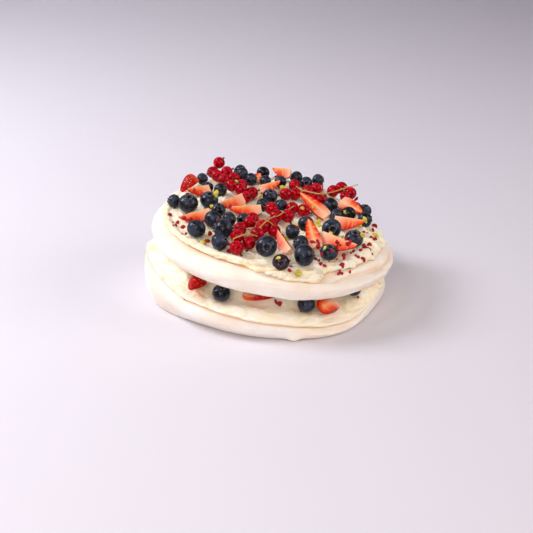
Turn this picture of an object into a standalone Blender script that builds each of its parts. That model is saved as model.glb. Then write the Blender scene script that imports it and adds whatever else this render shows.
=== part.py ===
# Pavlova: two meringue rounds with whipped cream between them and on top, and fresh fruit.
# Lengths are in millimetres and become metres when a mesh is made. +Z is up, the front is -Y,
# and the origin is the middle of the base.
import bmesh
import bpy
from math import atan2, cos, degrees, exp, hypot, radians, sin
from mathutils import Euler, Matrix, Vector
from mathutils.bvhtree import BVHTree

MM = 0.001
GAP = 0.35

ROUND_RADIUS = 98.0
UPPER_CENTRE_X = 4.0
LEAN_X = -0.136
LEAN_Y = 0.017
COLUMNS = 40

LOWER_FLOOR = 17.0
UPPER_UNDERSIDE = 34.5
UPPER_TOP = 55.8
CREAM_TOP = 66.0
SHELF_DEPTH = 12.5

CURRANT_ACROSS = 10.8
STEM_ACROSS = 2.4


def swell(angle, centre, width):
    # a smooth bump round the rim, 1 at its centre; angles in degrees
    off = (angle - centre + 180.0) % 360.0 - 180.0
    return exp(-(off / width) ** 2)


def foot_radius(angle):
    # the lower round's outline where it stands: hollow front left, full front right
    return (93.0 + 5.0 * swell(angle, 180.0, 40.0) + 8.0 * swell(angle, -58.0, 20.0)
            + 4.0 * swell(angle, 4.0, 20.0) - 9.0 * swell(angle, -128.0, 32.0))


def shoulder_radius(angle):
    return 95.0 + 3.0 * swell(angle, 180.0, 40.0) - 1.5 * swell(angle, -120.0, 30.0)


def shoulder_height(angle):
    # how high the lower round's wall stands before the cream covers it
    return (14.0 + 23.0 * swell(angle, 183.0, 38.0) + 5.0 * swell(angle, -118.0, 22.0)
            - 8.0 * swell(angle, -48.0, 22.0) + 8.0 * swell(angle, 85.0, 50.0))


def upper_radius(angle):
    return (ROUND_RADIUS - 1.0 + 1.5 * swell(angle, -10.0, 25.0) + 1.0 * swell(angle, -95.0, 40.0)
            - 2.5 * swell(angle, 110.0, 35.0) + 0.8 * cos(radians(5.0 * angle)))


def fold(angle):
    # a pinched fold that runs round the upper round's front right
    return swell(angle, -42.0, 24.0)


def droop(angle):
    # where the top cream hangs down over the rim, just left of the fold
    return swell(angle, -69.0, 14.0)


def lean(x, y):
    # the upper round has settled lower on its right
    return LEAN_X * x + LEAN_Y * y


def round_lower():
    # (radius, height) functions of the angle, from the middle of the base out and up and in again
    return [
        lambda a: (0.50 * foot_radius(a), 0.0),
        lambda a: (foot_radius(a) - 3.0, 0.0),
        lambda a: (foot_radius(a) + 0.5, 2.5),
        lambda a: (bulge_radius(a), 0.55 * shoulder_height(a)),
        lambda a: (shoulder_radius(a) + 1.5, 0.86 * shoulder_height(a)),
    ] + cup()


def bulge_radius(angle):
    wide = max(foot_radius(angle), shoulder_radius(angle))
    return wide + 1.0 + 1.5 * swell(angle, 180.0, 45.0)


def cup():
    # the lower round's upper side, which the cream between the rounds fills
    return [
        lambda a: (shoulder_radius(a), shoulder_height(a)),
        lambda a: (shoulder_radius(a) - 8.0, rim_height(a)),
        lambda a: (70.0, 0.4 * rim_height(a) + 0.6 * LOWER_FLOOR),
        lambda a: (38.0, LOWER_FLOOR),
    ]


def rim_height(angle):
    return shoulder_height(angle) + 2.5


def underside():
    return [
        lambda a: (38.0, UPPER_UNDERSIDE),
        lambda a: (70.0, UPPER_UNDERSIDE),
        lambda a: (0.87 * upper_radius(a), UPPER_UNDERSIDE + 0.8),
    ]


def upper_side():
    return [
        lambda a: (0.955 * upper_radius(a), UPPER_UNDERSIDE + 3.2),
        lambda a: (0.993 * upper_radius(a), UPPER_UNDERSIDE + 8.0),
        lambda a: (upper_radius(a) + 0.6 * fold(a), UPPER_UNDERSIDE + 12.5 - 1.0 * fold(a)),
        lambda a: (0.982 * upper_radius(a) - 4.5 * fold(a), UPPER_UNDERSIDE + 17.0 - 2.5 * fold(a)),
    ]


def upper_top():
    return [
        lambda a: (0.935 * upper_radius(a) - 1.5 * fold(a), edge_height(a) - 1.4),
        lambda a: (0.885 * upper_radius(a), edge_height(a)),
        lambda a: (0.70 * upper_radius(a), UPPER_TOP),
        lambda a: (0.36 * upper_radius(a), UPPER_TOP),
    ]


def edge_height(angle):
    return UPPER_TOP - 0.4 + 3.0 * swell(angle, 190.0, 30.0) - 4.5 * droop(angle)


def cream_upper_top():
    return [
        lambda a: (0.915 * upper_radius(a) + 1.0 * droop(a), edge_height(a) + 3.6 - 1.5 * droop(a)),
        lambda a: (0.875 * upper_radius(a), top_height(a, 86.0) - 2.6),
        lambda a: (0.80 * upper_radius(a), top_height(a, 78.0)),
        lambda a: (0.62 * upper_radius(a), top_height(a, 60.0)),
        lambda a: (0.42 * upper_radius(a), top_height(a, 40.0)),
        lambda a: (0.22 * upper_radius(a), top_height(a, 20.0)),
    ]


def top_height(angle, radius):
    # the cream on top is heaped towards the back
    y = radius * sin(radians(angle))
    slope = 0.075 if y > 0.0 else 0.052
    return CREAM_TOP + slope * y - 1.4 * max(radius - 62.0, 0.0) / 16.0


def section_ring(section, centre_x, leaning, rise):
    ring = []
    for column in range(COLUMNS):
        angle = 360.0 * column / COLUMNS
        radius, height = section(angle)
        x = centre_x + radius * cos(radians(angle))
        y = radius * sin(radians(angle))
        z = height + rise + (lean(x - centre_x, y) if leaning else 0.0)
        ring.append(Vector((x, y, z)))
    return ring


def loft(name, rings, material):
    # a closed skin through the rings; each cell is split from its inner to its outer corner, so
    # that two skins on the same rings lie parallel
    bm = bmesh.new()
    rows = [[bm.verts.new(point * MM) for point in ring] for ring in rings]
    for inner, outer in zip(rows, rows[1:]):
        for column in range(COLUMNS):
            after = (column + 1) % COLUMNS
            a, b, c, d = inner[column], inner[after], outer[after], outer[column]
            if hypot(a.co.x, a.co.y) < hypot(d.co.x, d.co.y):
                bm.faces.new((a, b, c))
                bm.faces.new((a, c, d))
            else:
                bm.faces.new((a, b, d))
                bm.faces.new((b, c, d))
    for ring, row in ((rings[0], rows[0]), (rings[-1], rows[-1])):
        pole = bm.verts.new(sum(ring, Vector()) / COLUMNS * MM)
        for column in range(COLUMNS):
            bm.faces.new((row[column], row[(column + 1) % COLUMNS], pole))
    bmesh.ops.recalc_face_normals(bm, faces=bm.faces)
    mesh = bpy.data.meshes.new(name)
    bm.to_mesh(mesh)
    bm.free()
    mesh.shade_smooth()
    return add_part(name, mesh, material)


def make_layers(materials):
    lower = [section_ring(s, 0.0, False, 0.0) for s in round_lower()]
    layers = [loft("meringue_lower", lower, materials["meringue"])]

    filling = [section_ring(s, 0.0, False, GAP) for s in reversed(cup())] + shelf_rings()
    filling += [section_ring(s, UPPER_CENTRE_X, True, -GAP) for s in reversed(underside()[:2])]
    layers.append(loft("cream_lower", filling, materials["cream"]))

    sections = underside() + upper_side() + upper_top()
    upper = [section_ring(s, UPPER_CENTRE_X, True, 0.0) for s in sections]
    layers.append(loft("meringue_upper", upper, materials["meringue"]))

    topping = [section_ring(s, UPPER_CENTRE_X, True, GAP) for s in reversed(upper_top()[1:])]
    topping += [section_ring(s, UPPER_CENTRE_X, True, 0.0) for s in cream_upper_top()]
    layers.append(loft("cream_upper", topping, materials["cream"]))
    return layers


def opening(angle):
    # round the front the filling stops short of the upper round, and fruit lies in the gap
    off = (angle + 88.0 + 180.0) % 360.0 - 180.0
    return exp(-(off / 50.0) ** 8)


def shelf_depth(angle):
    return (SHELF_DEPTH + 1.5 * swell(angle, -125.0, 18.0)) * opening(angle)


def shelf_rings():
    # the cream's lip over the lower round's shoulder, and its shelf under the upper round
    bare = [360.0 * column / COLUMNS for column in range(COLUMNS)]
    shoulder = section_ring(cup()[0], 0.0, False, 0.0)
    outer = section_ring(underside()[2], UPPER_CENTRE_X, True, -GAP)
    inner = section_ring(underside()[1], UPPER_CENTRE_X, True, -GAP)
    lip, slope, shelf, back = [], [], [], []
    for angle, low, high, far in zip(bare, shoulder, outer, inner):
        outward = Vector((low.x, low.y, 0.0)).normalized()
        drop = Vector((0.0, 0.0, -shelf_depth(angle)))
        lip.append(low + outward * 2.2 + Vector((0.0, 0.0, 2.4)))
        shelf.append(high + drop)
        slope.append(lip[-1].lerp(shelf[-1], 0.55) + Vector((0.0, 0.0, 1.4)))
        back.append(far.lerp(high, 0.5) + 0.9 * drop)
    return [lip, slope, shelf, back]


# Fruit. A place is (x, y) on the cake; each piece is then lowered until it rests on what is
# under it, so a piece comes after the ones that carry it.

# x, y, across, which way the crown looks
BLUEBERRIES = [
    (-74, -6, 11.6, "left"), (-62, -13, 16.6, "up"), (-54, 45, 10.5, "right"),
    (-46, -1, 15.4, "up"), (-38, 24, 11.6, "back"),
    (-38, -15, 12.2, "up"), (-41, -39, 14.6, "back"), (-29, -33, 12.4, "right"),
    (-53, -56, 14.8, "back"), (-33, -55, 16.6, "left"), (-35, -71, 13.8, "right"),
    (-21, 64, 12.0, "left"), (-23, 76, 12.4, "left"), (-13, 53, 11.6, "right"),
    (-3, 74, 11.8, "back"), (-1, 54, 11.0, "left"), (12, 56, 11.8, "right"),
    (3, 24, 13.4, "up"),
    (26, 72, 12.2, "left"), (34, 62, 11.8, "front"), (44.5, 65, 11.8, "right"),
    (53, 19, 13.6, "right"), (67, 8, 12.8, "back"),
    (82, 26, 12.0, "up"), (80, 2, 13.2, "right"), (51, -30, 16.2, "front"),
    (68, -38, 15.6, "up"), (47, -66, 14.2, "up"), (31, -23, 13.2, "back"),
    (20, -41, 12.4, "right"), (26, -61, 13.4, "left"), (28, -79, 17.4, "right"),
    (0, -75, 16.8, "front"), (10.5, -87, 13.0, "front"),
]

CROWN_LOOKS = {
    "up": (0.15, -0.35, 1.0), "front": (0.05, -1.0, 0.25), "left": (-1.0, -0.3, 0.2),
    "right": (1.0, -0.2, 0.3), "back": (0.2, 1.0, 0.1),
}

# x, y, long, across, cut, which way the tip points (degrees), roll (0 turns the cut side up),
# nose (how far the tip is raised)
STRAWBERRIES = [
    (-65, 28, 17.0, 17.0, "quarter", 215, 150, -28), (-56, 19, 19.0, 18.0, "quarter", 210, 0, 0),
    (-29, 4, 22.0, 20.0, "quarter", 212, -10, -12), (-18, -7, 27.0, 18.0, "quarter", 190, 0, 0),
    (-56, -30, 25.0, 18.0, "quarter", 200, 0, -9), (3, 42, 19.0, 17.0, "quarter", 20, 0, 8),
    (-8, 64, 10.0, 9.0, "half", 60, 30, 20), (13, 70, 16.0, 19.0, "quarter", 170, 0, 0),
    (38, 12, 31.0, 13.0, "half", 140, -15, 26), (71, 24, 25.0, 14.0, "half", 312, 25, -8),
    (67, -12, 25.0, 21.0, "quarter", 335, 10, 0), (56, -54, 32.0, 25.0, "quarter", 320, 8, -5),
    (35, -46, 26.0, 12.0, "half", 105, -8, 36), (13, -60, 23.0, 15.0, "quarter", 115, 0, 18),
]

# x, y and height of each currant over the cream; the sprig's stem ties them into one piece
SPRIGS = {
    "currants_back_left": [
        (-17, 17, 6), (-12, 27, 6), (-21, 26, 8), (-29, 34, 7), (-21, 40, 6), (-36, 47, 6),
        (-28, 52, 6), (-42, 55, 6), (-34, 61, 8), (-46, 63, 6), (-41, 72, 12),
    ],
    "currants_front": [
        (-22, -76, 6), (-13, -67, 6), (-22, -64, 9), (-7, -53, 7), (-20, -45, 6), (-13, -36, 8),
        (-3, -43, 9), (6, -44, 7), (4, -33, 8), (-11, -26, 7), (8, -15, 7), (17, -12, 7),
        (4, -6, 9), (21, 5, 7), (30, 3, 7),
    ],
    "currants_back_right": [
        (39, 33, 6), (35, 45, 6), (46, 31, 6), (42, 50, 7), (57, 55, 6), (64, 53, 11),
        (67, 42, 8), (71, 44, 11), (24, 54, 6), (24, 36, 6), (16, 30, 7),
    ],
}

# between the rounds, written as above
GAP_BLUEBERRIES = [(-34, -77, 14.6, "up"), (30, -80, 14.0, "up")]
GAP_STRAWBERRIES = [
    (-54, -70, 18.5, 14.0, "half", 250, 180, 0), (-5, -78, 23.0, 12.0, "slice", 5, 0, 0),
    (47, -77, 22.0, 17.0, "chunk", 235, 0, 0),
]


def add_part(name, mesh, material):
    mesh.materials.clear()
    mesh.materials.append(material)
    part = bpy.data.objects.new(name, mesh)
    bpy.data.collections["pavlova"].objects.link(part)
    return part


def turned_berry(name, across, material):
    # an oblate berry turned round its axis, with the hollow of its crown at the top
    radius = 0.5 * across * MM
    profile = [(0.0, 0.60), (0.36, 0.80), (0.95, 0.34), (0.96, -0.30), (0.50, -0.78), (0.0, -0.86)]
    mesh = bpy.data.meshes.new(name)
    points = [(r * radius, 0.0, z * radius) for r, z in profile]
    mesh.from_pydata(points, [(i, i + 1) for i in range(len(points) - 1)], [])
    berry = add_part(name, mesh, material)
    screw = berry.modifiers.new("turn", "SCREW")
    screw.steps = 8
    screw.render_steps = 8
    screw.use_merge_vertices = True
    screw.merge_threshold = 0.00001
    return berry


def strawberry_piece(name, length, across, cut, material):
    # along +X to the tip; the cut side looks up
    bm = bmesh.new()
    bmesh.ops.create_uvsphere(bm, u_segments=9, v_segments=6, radius=1.0)
    for vert in bm.verts:
        x, y, z = vert.co.z, vert.co.y, vert.co.x
        plump = 0.5 * across * (0.94 - 0.36 * x)
        vert.co = Vector((0.58 * length * x, plump * y, plump * z)) * MM
    hull = ((-0.44 * length, 0, 0), (-1, 0, 0))
    planes = {
        "half": [hull, ((0, 0, 0), (0, 0, 1))],
        "quarter": [hull, ((0, 0, 0), (0, 1, 1)), ((0, 0, 0), (0, -1, 1))],
        "slice": [((0, 0, 0.12 * across), (0, 0, 1)), ((0, 0, -0.16 * across), (0, 0, -1))],
        "chunk": [hull, ((0, 0, 0), (0, 0.3, 1)), ((0.12 * length, 0, 0), (1, 0, 0.1))],
    }
    for point, normal in planes[cut]:
        whole = bm.verts[:] + bm.edges[:] + bm.faces[:]
        sliced = bmesh.ops.bisect_plane(bm, geom=whole, plane_co=Vector(point) * MM,
                                        plane_no=normal, clear_outer=True)
        rim = [edge for edge in sliced["geom_cut"] if isinstance(edge, bmesh.types.BMEdge)]
        bmesh.ops.holes_fill(bm, edges=rim, sides=0)
    low = Vector([min(v.co[i] for v in bm.verts) for i in range(3)])
    high = Vector([max(v.co[i] for v in bm.verts) for i in range(3)])
    bmesh.ops.translate(bm, verts=bm.verts, vec=-(low + high) / 2)
    bmesh.ops.recalc_face_normals(bm, faces=bm.faces)
    mesh = bpy.data.meshes.new(name)
    bm.to_mesh(mesh)
    bm.free()
    mesh.shade_smooth()
    mesh.set_sharp_from_angle(angle=radians(50))
    return add_part(name, mesh, material)


def sprig(name, currants, material):
    # currants and the stems between them, joined into one solid
    places = [Vector((x, y, cream_height(x, y) + up)) * MM for x, y, up in currants]
    group = bpy.data.collections.new(name + "_pieces")
    bpy.data.collections["cutters"].children.link(group)
    for number, spot in enumerate(places):
        bm = bmesh.new()
        bmesh.ops.create_uvsphere(bm, u_segments=7, v_segments=5, radius=0.5 * CURRANT_ACROSS * MM)
        turn = Euler((0.3 * number, 0.5 * number, 0.9 * number)).to_matrix()
        bmesh.ops.rotate(bm, verts=bm.verts, matrix=turn)
        bmesh.ops.translate(bm, verts=bm.verts, vec=spot)
        add_cutter("%s_%02d" % (name, number), bm, group)
        if number:
            nearest = min(places[:number], key=lambda other: (other - spot).length)
            add_cutter("%s_stem_%02d" % (name, number), stem(spot, nearest), group)

    first = group.objects[0]
    group.objects.unlink(first)
    bpy.data.collections["cutters"].objects.link(first)
    union = first.modifiers.new("join", "BOOLEAN")
    union.operation = "UNION"
    union.solver = "EXACT"
    union.operand_type = "COLLECTION"
    union.collection = group
    bpy.context.view_layer.update()
    joined = first.evaluated_get(bpy.context.evaluated_depsgraph_get())
    mesh = bpy.data.meshes.new_from_object(joined)
    for helper in [first] + list(group.objects):
        bpy.data.objects.remove(helper)
    mesh.shade_smooth()
    return add_part(name, mesh, material)


def stem(start, end):
    along = end - start
    bm = bmesh.new()
    bmesh.ops.create_cone(bm, cap_ends=True, segments=5, radius1=0.5 * STEM_ACROSS * MM,
                          radius2=0.5 * STEM_ACROSS * MM, depth=along.length)
    turn = along.to_track_quat("Z", "Y").to_matrix().to_4x4()
    bmesh.ops.transform(bm, verts=bm.verts, matrix=Matrix.Translation((start + end) / 2) @ turn)
    return bm


def add_cutter(name, bm, group):
    mesh = bpy.data.meshes.new(name)
    bm.to_mesh(mesh)
    bm.free()
    cutter = bpy.data.objects.new(name, mesh)
    cutter.hide_render = True
    cutter.display_type = "WIRE"
    group.objects.link(cutter)


def cream_height(x, y):
    flat_x = x - UPPER_CENTRE_X
    radius = hypot(flat_x, y)
    return top_height(degrees(atan2(y, flat_x)), radius) + lean(flat_x, y)


def world_shape(part):
    # the shape as it stands: its faces, and points spread over them
    view = bpy.context.evaluated_depsgraph_get()
    shown = part.evaluated_get(view)
    mesh = shown.to_mesh()
    matrix = part.matrix_world
    verts = [matrix @ vert.co for vert in mesh.vertices]
    faces = [tuple(face.vertices) for face in mesh.polygons]
    spread = list(verts)
    spread += [(verts[a] + verts[b]) / 2 for a, b in (edge.vertices for edge in mesh.edges)]
    spread += [matrix @ face.center for face in mesh.polygons]
    shown.to_mesh_clear()
    return BVHTree.FromPolygons(verts, faces), spread


def rest(part, shapes):
    # let the piece down until it is a gap above what is under it
    bpy.context.view_layer.update()
    tree, spread = world_shape(part)
    down = Vector((0.0, 0.0, -1.0))
    fall = 1.0
    for other, other_spread in shapes:
        for point in spread:
            hit = other.ray_cast(point, down, fall)
            if hit[0] is not None:
                fall = hit[3]
        for point in other_spread:
            hit = tree.ray_cast(point, -down, fall)
            if hit[0] is not None:
                fall = hit[3]
    part.location.z -= fall - GAP * MM
    bpy.context.view_layer.update()
    shapes.append(world_shape(part))


def place(part, x, y, z, turn):
    part.location = Vector((x, y, z)) * MM
    part.rotation_euler = turn.to_euler()


def piece_turn(heading, roll, nose):
    spin = Matrix.Rotation(radians(heading), 3, "Z")
    pitch = Matrix.Rotation(radians(-nose), 3, "Y")
    return spin @ pitch @ Matrix.Rotation(radians(roll), 3, "X")


def crown_turn(look):
    return Vector(CROWN_LOOKS[look]).to_track_quat("Z", "Y").to_matrix()


def make_fruit(layers, materials):
    high = 2.0 * CREAM_TOP
    shapes = [world_shape(layers[1])]
    for number, (x, y, across, look) in enumerate(GAP_BLUEBERRIES):
        berry = turned_berry("gap_blueberry_%d" % (number + 1), across, materials["blueberry"])
        place(berry, x, y, high, crown_turn(look))
        rest(berry, shapes)
    for number, (x, y, length, across, cut, heading, roll, nose) in enumerate(GAP_STRAWBERRIES):
        piece = strawberry_piece("gap_strawberry_%d" % (number + 1), length, across, cut,
                                 materials["strawberry"])
        place(piece, x, y, high, piece_turn(heading, roll, nose))
        rest(piece, shapes)

    shapes = [world_shape(layers[3])]
    for number, (x, y, across, look) in enumerate(BLUEBERRIES):
        berry = turned_berry("blueberry_%02d" % (number + 1), across, materials["blueberry"])
        place(berry, x, y, high, crown_turn(look))
        rest(berry, shapes)
    for number, (x, y, length, across, cut, heading, roll, nose) in enumerate(STRAWBERRIES):
        piece = strawberry_piece("strawberry_%02d" % (number + 1), length, across, cut,
                                 materials["strawberry"])
        place(piece, x, y, high, piece_turn(heading, roll, nose))
        rest(piece, shapes)
    for name, currants in SPRIGS.items():
        bunch = sprig(name, currants, materials["currant"])
        bunch.location.z = high * MM
        rest(bunch, shapes)


def centre_on_base():
    # the origin is the middle of the base's box
    bpy.context.view_layer.update()
    parts = bpy.data.collections["pavlova"].objects
    points = [point for part in parts for point in world_shape(part)[1]]
    middle_x = (min(p.x for p in points) + max(p.x for p in points)) / 2
    middle_y = (min(p.y for p in points) + max(p.y for p in points)) / 2
    for part in parts:
        part.location.x -= middle_x
        part.location.y -= middle_y


def make_material(name, colour, roughness):
    material = bpy.data.materials.new(name)
    material.use_nodes = True
    shader = material.node_tree.nodes["Principled BSDF"]
    shader.inputs["Base Color"].default_value = colour
    shader.inputs["Roughness"].default_value = roughness
    shader.inputs["Metallic"].default_value = 0.0
    return material


def main():
    for old in list(bpy.data.objects):
        bpy.data.objects.remove(old)
    shown = bpy.data.collections.new("pavlova")
    cutters = bpy.data.collections.new("cutters")
    bpy.context.scene.collection.children.link(shown)
    bpy.context.scene.collection.children.link(cutters)
    materials = {
        "meringue": make_material("meringue", (0.91, 0.84, 0.77, 1.0), 0.75),
        "cream": make_material("cream", (0.95, 0.89, 0.72, 1.0), 0.45),
        "blueberry": make_material("blueberry", (0.02, 0.025, 0.05, 1.0), 0.35),
        "strawberry": make_material("strawberry", (0.72, 0.05, 0.02, 1.0), 0.3),
        "currant": make_material("currant", (0.45, 0.01, 0.02, 1.0), 0.12),
    }
    layers = make_layers(materials)
    bpy.context.view_layer.update()
    make_fruit(layers, materials)
    centre_on_base()


main()
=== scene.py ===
from functools import partial
from math import atan2, cos, degrees, hypot, pi, radians, sin
import bmesh
import bpy
import numpy as np
from mathutils import Matrix, Vector, noise
from mathutils.bvhtree import BVHTree


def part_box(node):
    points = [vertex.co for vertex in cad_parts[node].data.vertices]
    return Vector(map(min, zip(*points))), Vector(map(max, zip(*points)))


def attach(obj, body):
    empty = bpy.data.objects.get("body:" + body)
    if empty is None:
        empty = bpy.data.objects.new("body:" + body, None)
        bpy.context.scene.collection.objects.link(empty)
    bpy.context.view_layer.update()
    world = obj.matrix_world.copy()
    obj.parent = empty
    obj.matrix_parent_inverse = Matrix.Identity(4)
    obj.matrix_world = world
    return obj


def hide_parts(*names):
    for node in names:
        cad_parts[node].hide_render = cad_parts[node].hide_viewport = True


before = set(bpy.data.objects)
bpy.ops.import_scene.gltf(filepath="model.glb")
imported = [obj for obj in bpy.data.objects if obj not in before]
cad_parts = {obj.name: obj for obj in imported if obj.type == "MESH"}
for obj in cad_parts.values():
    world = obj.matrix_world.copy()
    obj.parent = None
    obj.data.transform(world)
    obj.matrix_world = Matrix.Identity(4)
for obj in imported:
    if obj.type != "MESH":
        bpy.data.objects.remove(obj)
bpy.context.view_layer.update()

# Pavlova: two meringue rounds, whipped cream between and on top, fresh berries.
# Lengths are in millimetres until a mesh is made. +Z is up and the front is -Y.
mm = 0.001
cake = {"shiftX": -1.32, "shiftY": 0.39, "upperCentreX": 4.0, "leanX": -0.136, "leanY": 0.017, "gap": 0.35}


def hexColour(code, alpha=1.0):
    values = [int(code[i:i + 2], 16) / 255 for i in (1, 3, 5)]
    return [v / 12.92 if v <= 0.04045 else ((v + 0.055) / 1.055) ** 2.4 for v in values] + [alpha]


def fillSockets(node, inputs):
    # a plain value sets its socket; a node, or a node with an output's name, is linked to it
    for name, value in inputs.items():
        socket = node.inputs[name]
        if isinstance(value, bpy.types.Node):
            value = (value, next(i for i, output in enumerate(value.outputs) if output.enabled))
        if isinstance(value, tuple) and isinstance(value[0], bpy.types.Node):
            node.id_data.links.new(value[0].outputs[value[1]], socket)
        else:
            socket.default_value = hexColour(value) if isinstance(value, str) and value[0] == "#" else value


def addNode(tree, kind, inputs=None, stops=(), **settings):
    # one node with its settings and links; stops are a colour ramp's
    node = tree.nodes.new(kind)
    for name, value in settings.items():
        setattr(node, name, value)
    fillSockets(node, inputs or {})
    if stops:
        ramp = node.color_ramp
        while len(ramp.elements) < len(stops):
            ramp.elements.new(1.0)
        for element, (spot, colour) in zip(ramp.elements, stops):
            element.position = spot
            element.color = hexColour(colour)
    return node


def newMaterial(name, roughness, ior, **uniform):
    # a Principled surface with its plain values on its own sockets, and addNode for its tree
    material = bpy.data.materials.new(name)
    material.use_nodes = True
    shader = material.node_tree.nodes["Principled BSDF"]
    plain = {key.replace("_", " "): value for key, value in uniform.items()}
    fillSockets(shader, {"Roughness": roughness, "IOR": ior, **plain})
    return material, shader, partial(addNode, material.node_tree)


def addPiece(name, mesh, materials, nodes=()):
    mesh.name = name
    for material in materials[len(mesh.materials):]:   # a scattered mesh brings its own
        mesh.materials.append(material)
    piece = bpy.data.objects.new(name, mesh)
    bpy.context.scene.collection.objects.link(piece)
    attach(piece, "root")
    if nodes:
        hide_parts(*nodes)
    return piece


def markPoints(mesh, name, values, kind="FLOAT"):
    field = "vector" if kind == "FLOAT_VECTOR" else "value"
    flat = np.asarray(values, np.float32).reshape(-1)
    mesh.attributes.new(name, kind, "POINT").data.foreach_set(field, flat)


def wrapFaces(rows, columns, clockwise=False):
    # quads round a stack of rings, then fans that close its first and last ring onto two more points
    index = np.arange(rows * columns).reshape(rows, columns)
    after = np.roll(index, -1, axis=1)
    corners = [index[:-1], after[:-1], after[1:], index[1:]]
    fans = [(after[0], index[0]), (index[-1], after[-1])]
    if clockwise:
        corners = [index[:-1], index[1:], after[1:], after[:-1]]
        fans = [fan[::-1] for fan in fans]
    faces = np.stack(corners, -1).reshape(-1, 4).tolist()
    for end, (starts, ends) in enumerate(fans):
        faces += [(rows * columns + end, int(a), int(b)) for a, b in zip(starts, ends)]
    return faces


def ripples(points, size, seed, octaves=1):
    # smooth noise at each point, features about size mm across
    scale = 1.0 / size
    offset = Vector((seed * 17.3, seed * 5.9, seed * 11.1))
    flat = points.reshape(-1, 3)
    if octaves == 1:
        found = [noise.noise(Vector(p) * scale + offset) for p in flat]
    else:
        found = [noise.fractal(Vector(p) * scale + offset, 0.9, 2.0, octaves) for p in flat]
    return np.array(found).reshape(points.shape[:-1])


def smoothStep(low, high, value):
    t = np.clip((value - low) / (high - low), 0.0, 1.0)
    return t * t * (3.0 - 2.0 * t)


def bell(value, centre, width):
    return np.exp(-((value - centre) / width) ** 2)


# The rounds' outlines follow the same rules as the solid model. Angles are in degrees round the cake
# from +X, and swell is a bell round one of them.
def swell(angle, centre, width):
    return bell((angle - centre + 180.0) % 360.0 - 180.0, 0.0, width)


def footRadius(a):
    return (93.0 + 5.0 * swell(a, 180.0, 40.0) + 8.0 * swell(a, -58.0, 20.0) + 4.0 * swell(a, 4.0, 20.0)
            - 9.0 * swell(a, -128.0, 32.0))


def shoulderRadius(a):
    return 95.0 + 3.0 * swell(a, 180.0, 40.0) - 1.5 * swell(a, -120.0, 30.0)


def shoulderHeight(a):
    wall = (14.0 + 23.0 * swell(a, 183.0, 38.0) + 5.0 * swell(a, -118.0, 22.0) - 8.0 * swell(a, -48.0, 22.0)
            + 8.0 * swell(a, 85.0, 50.0))
    smallRises = 6.0 * swell(a, -158.0, 22.0) + 4.5 * swell(a, -20.0, 20.0) - 2.0 * swell(a, -72.0, 16.0)
    return wall + smallRises   # the rises are the skin's own, not the solid's


def upperRadius(a):
    return (97.0 + 1.5 * swell(a, -10.0, 25.0) + swell(a, -95.0, 40.0) - 2.5 * swell(a, 110.0, 35.0)
            + 0.8 * np.cos(np.radians(5.0 * a)))


def fold(a):
    return swell(a, -42.0, 24.0)


def lean(x, y):
    return cake["leanX"] * x + cake["leanY"] * y


def bulgeRadius(a):
    return np.maximum(footRadius(a), shoulderRadius(a)) + 1.0 + 1.5 * swell(a, 180.0, 45.0)


def rimHeight(a):
    return shoulderHeight(a) + 2.5


def edgeHeight(a):
    droop = swell(a, -69.0, 14.0)
    return 55.4 + 3.0 * swell(a, 190.0, 30.0) - 4.5 * droop


def topHeight(a, radius):
    y = radius * np.sin(np.radians(a))
    return 66.0 + np.where(y > 0.0, 0.075, 0.052) * y - 1.4 * np.maximum(radius - 62.0, 0.0) / 16.0


def creamHeight(x, y):
    flatX = x - cake["upperCentreX"]
    return float(topHeight(degrees(atan2(y, flatX)), hypot(flatX, y))) + lean(flatX, y)


def signedAngle(a):
    return a - 360.0 * (a > 180.0)


# Each round is a stack of rings. A ring gives its radius and height at an angle.
cup = [
    lambda a: (shoulderRadius(a), shoulderHeight(a)),
    lambda a: (shoulderRadius(a) - 8.0, rimHeight(a)),
    lambda a: (70.0, 0.4 * rimHeight(a) + 0.6 * 17.0),
    lambda a: (38.0, 17.0),
]
lowerWall = [
    lambda a: (0.5 * footRadius(a), 0.0),
    lambda a: (footRadius(a) - 3.0, 0.0),
    lambda a: (footRadius(a) + 0.5, 2.5),
    lambda a: (bulgeRadius(a), 0.55 * shoulderHeight(a)),
    lambda a: (shoulderRadius(a) + 1.5, 0.86 * shoulderHeight(a)),
]
underside = [
    lambda a: (38.0, 34.5),
    lambda a: (70.0, 34.5),
    lambda a: (0.87 * upperRadius(a), 35.3),
]
upperSide = [
    lambda a: (0.955 * upperRadius(a), 37.7),
    lambda a: (0.993 * upperRadius(a), 42.5),
    lambda a: (upperRadius(a) + 0.6 * fold(a), 47.0 - fold(a)),
    lambda a: (0.982 * upperRadius(a) - 4.5 * fold(a), 51.5 - 2.5 * fold(a)),
]
upperTop = [
    lambda a: (0.935 * upperRadius(a) - 1.5 * fold(a), edgeHeight(a) - 1.4),
    lambda a: (0.885 * upperRadius(a), edgeHeight(a)),
    lambda a: (0.70 * upperRadius(a), 55.8),
    lambda a: (0.36 * upperRadius(a), 55.8),
]


def drape(a):
    # how far out the topping reaches: it hangs over the rim at the front and stops short beside the fold
    front = smoothStep(-112.0, -78.0, signedAngle(a)) * (1 - smoothStep(-69.0, -63.0, signedAngle(a)))
    return 0.885 + 0.066 * front - 0.045 * swell(a, -59.0, 8.0)


def onUpperRound(a, share):
    # height of the upper round's surface at a share of its radius
    height = 55.8 + 0.0 * a
    spots = [(0.70, height), (0.885, edgeHeight(a)), (0.935 - 0.0155 * fold(a), edgeHeight(a) - 1.4),
             (0.982 - 0.046 * fold(a), 51.5 - 2.5 * fold(a))]
    for (near, high), (far, low) in zip(spots, spots[1:]):
        height = height + (low - high) * np.clip((share - near) / (far - near), 0.0, 1.0)
    return height


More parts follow.
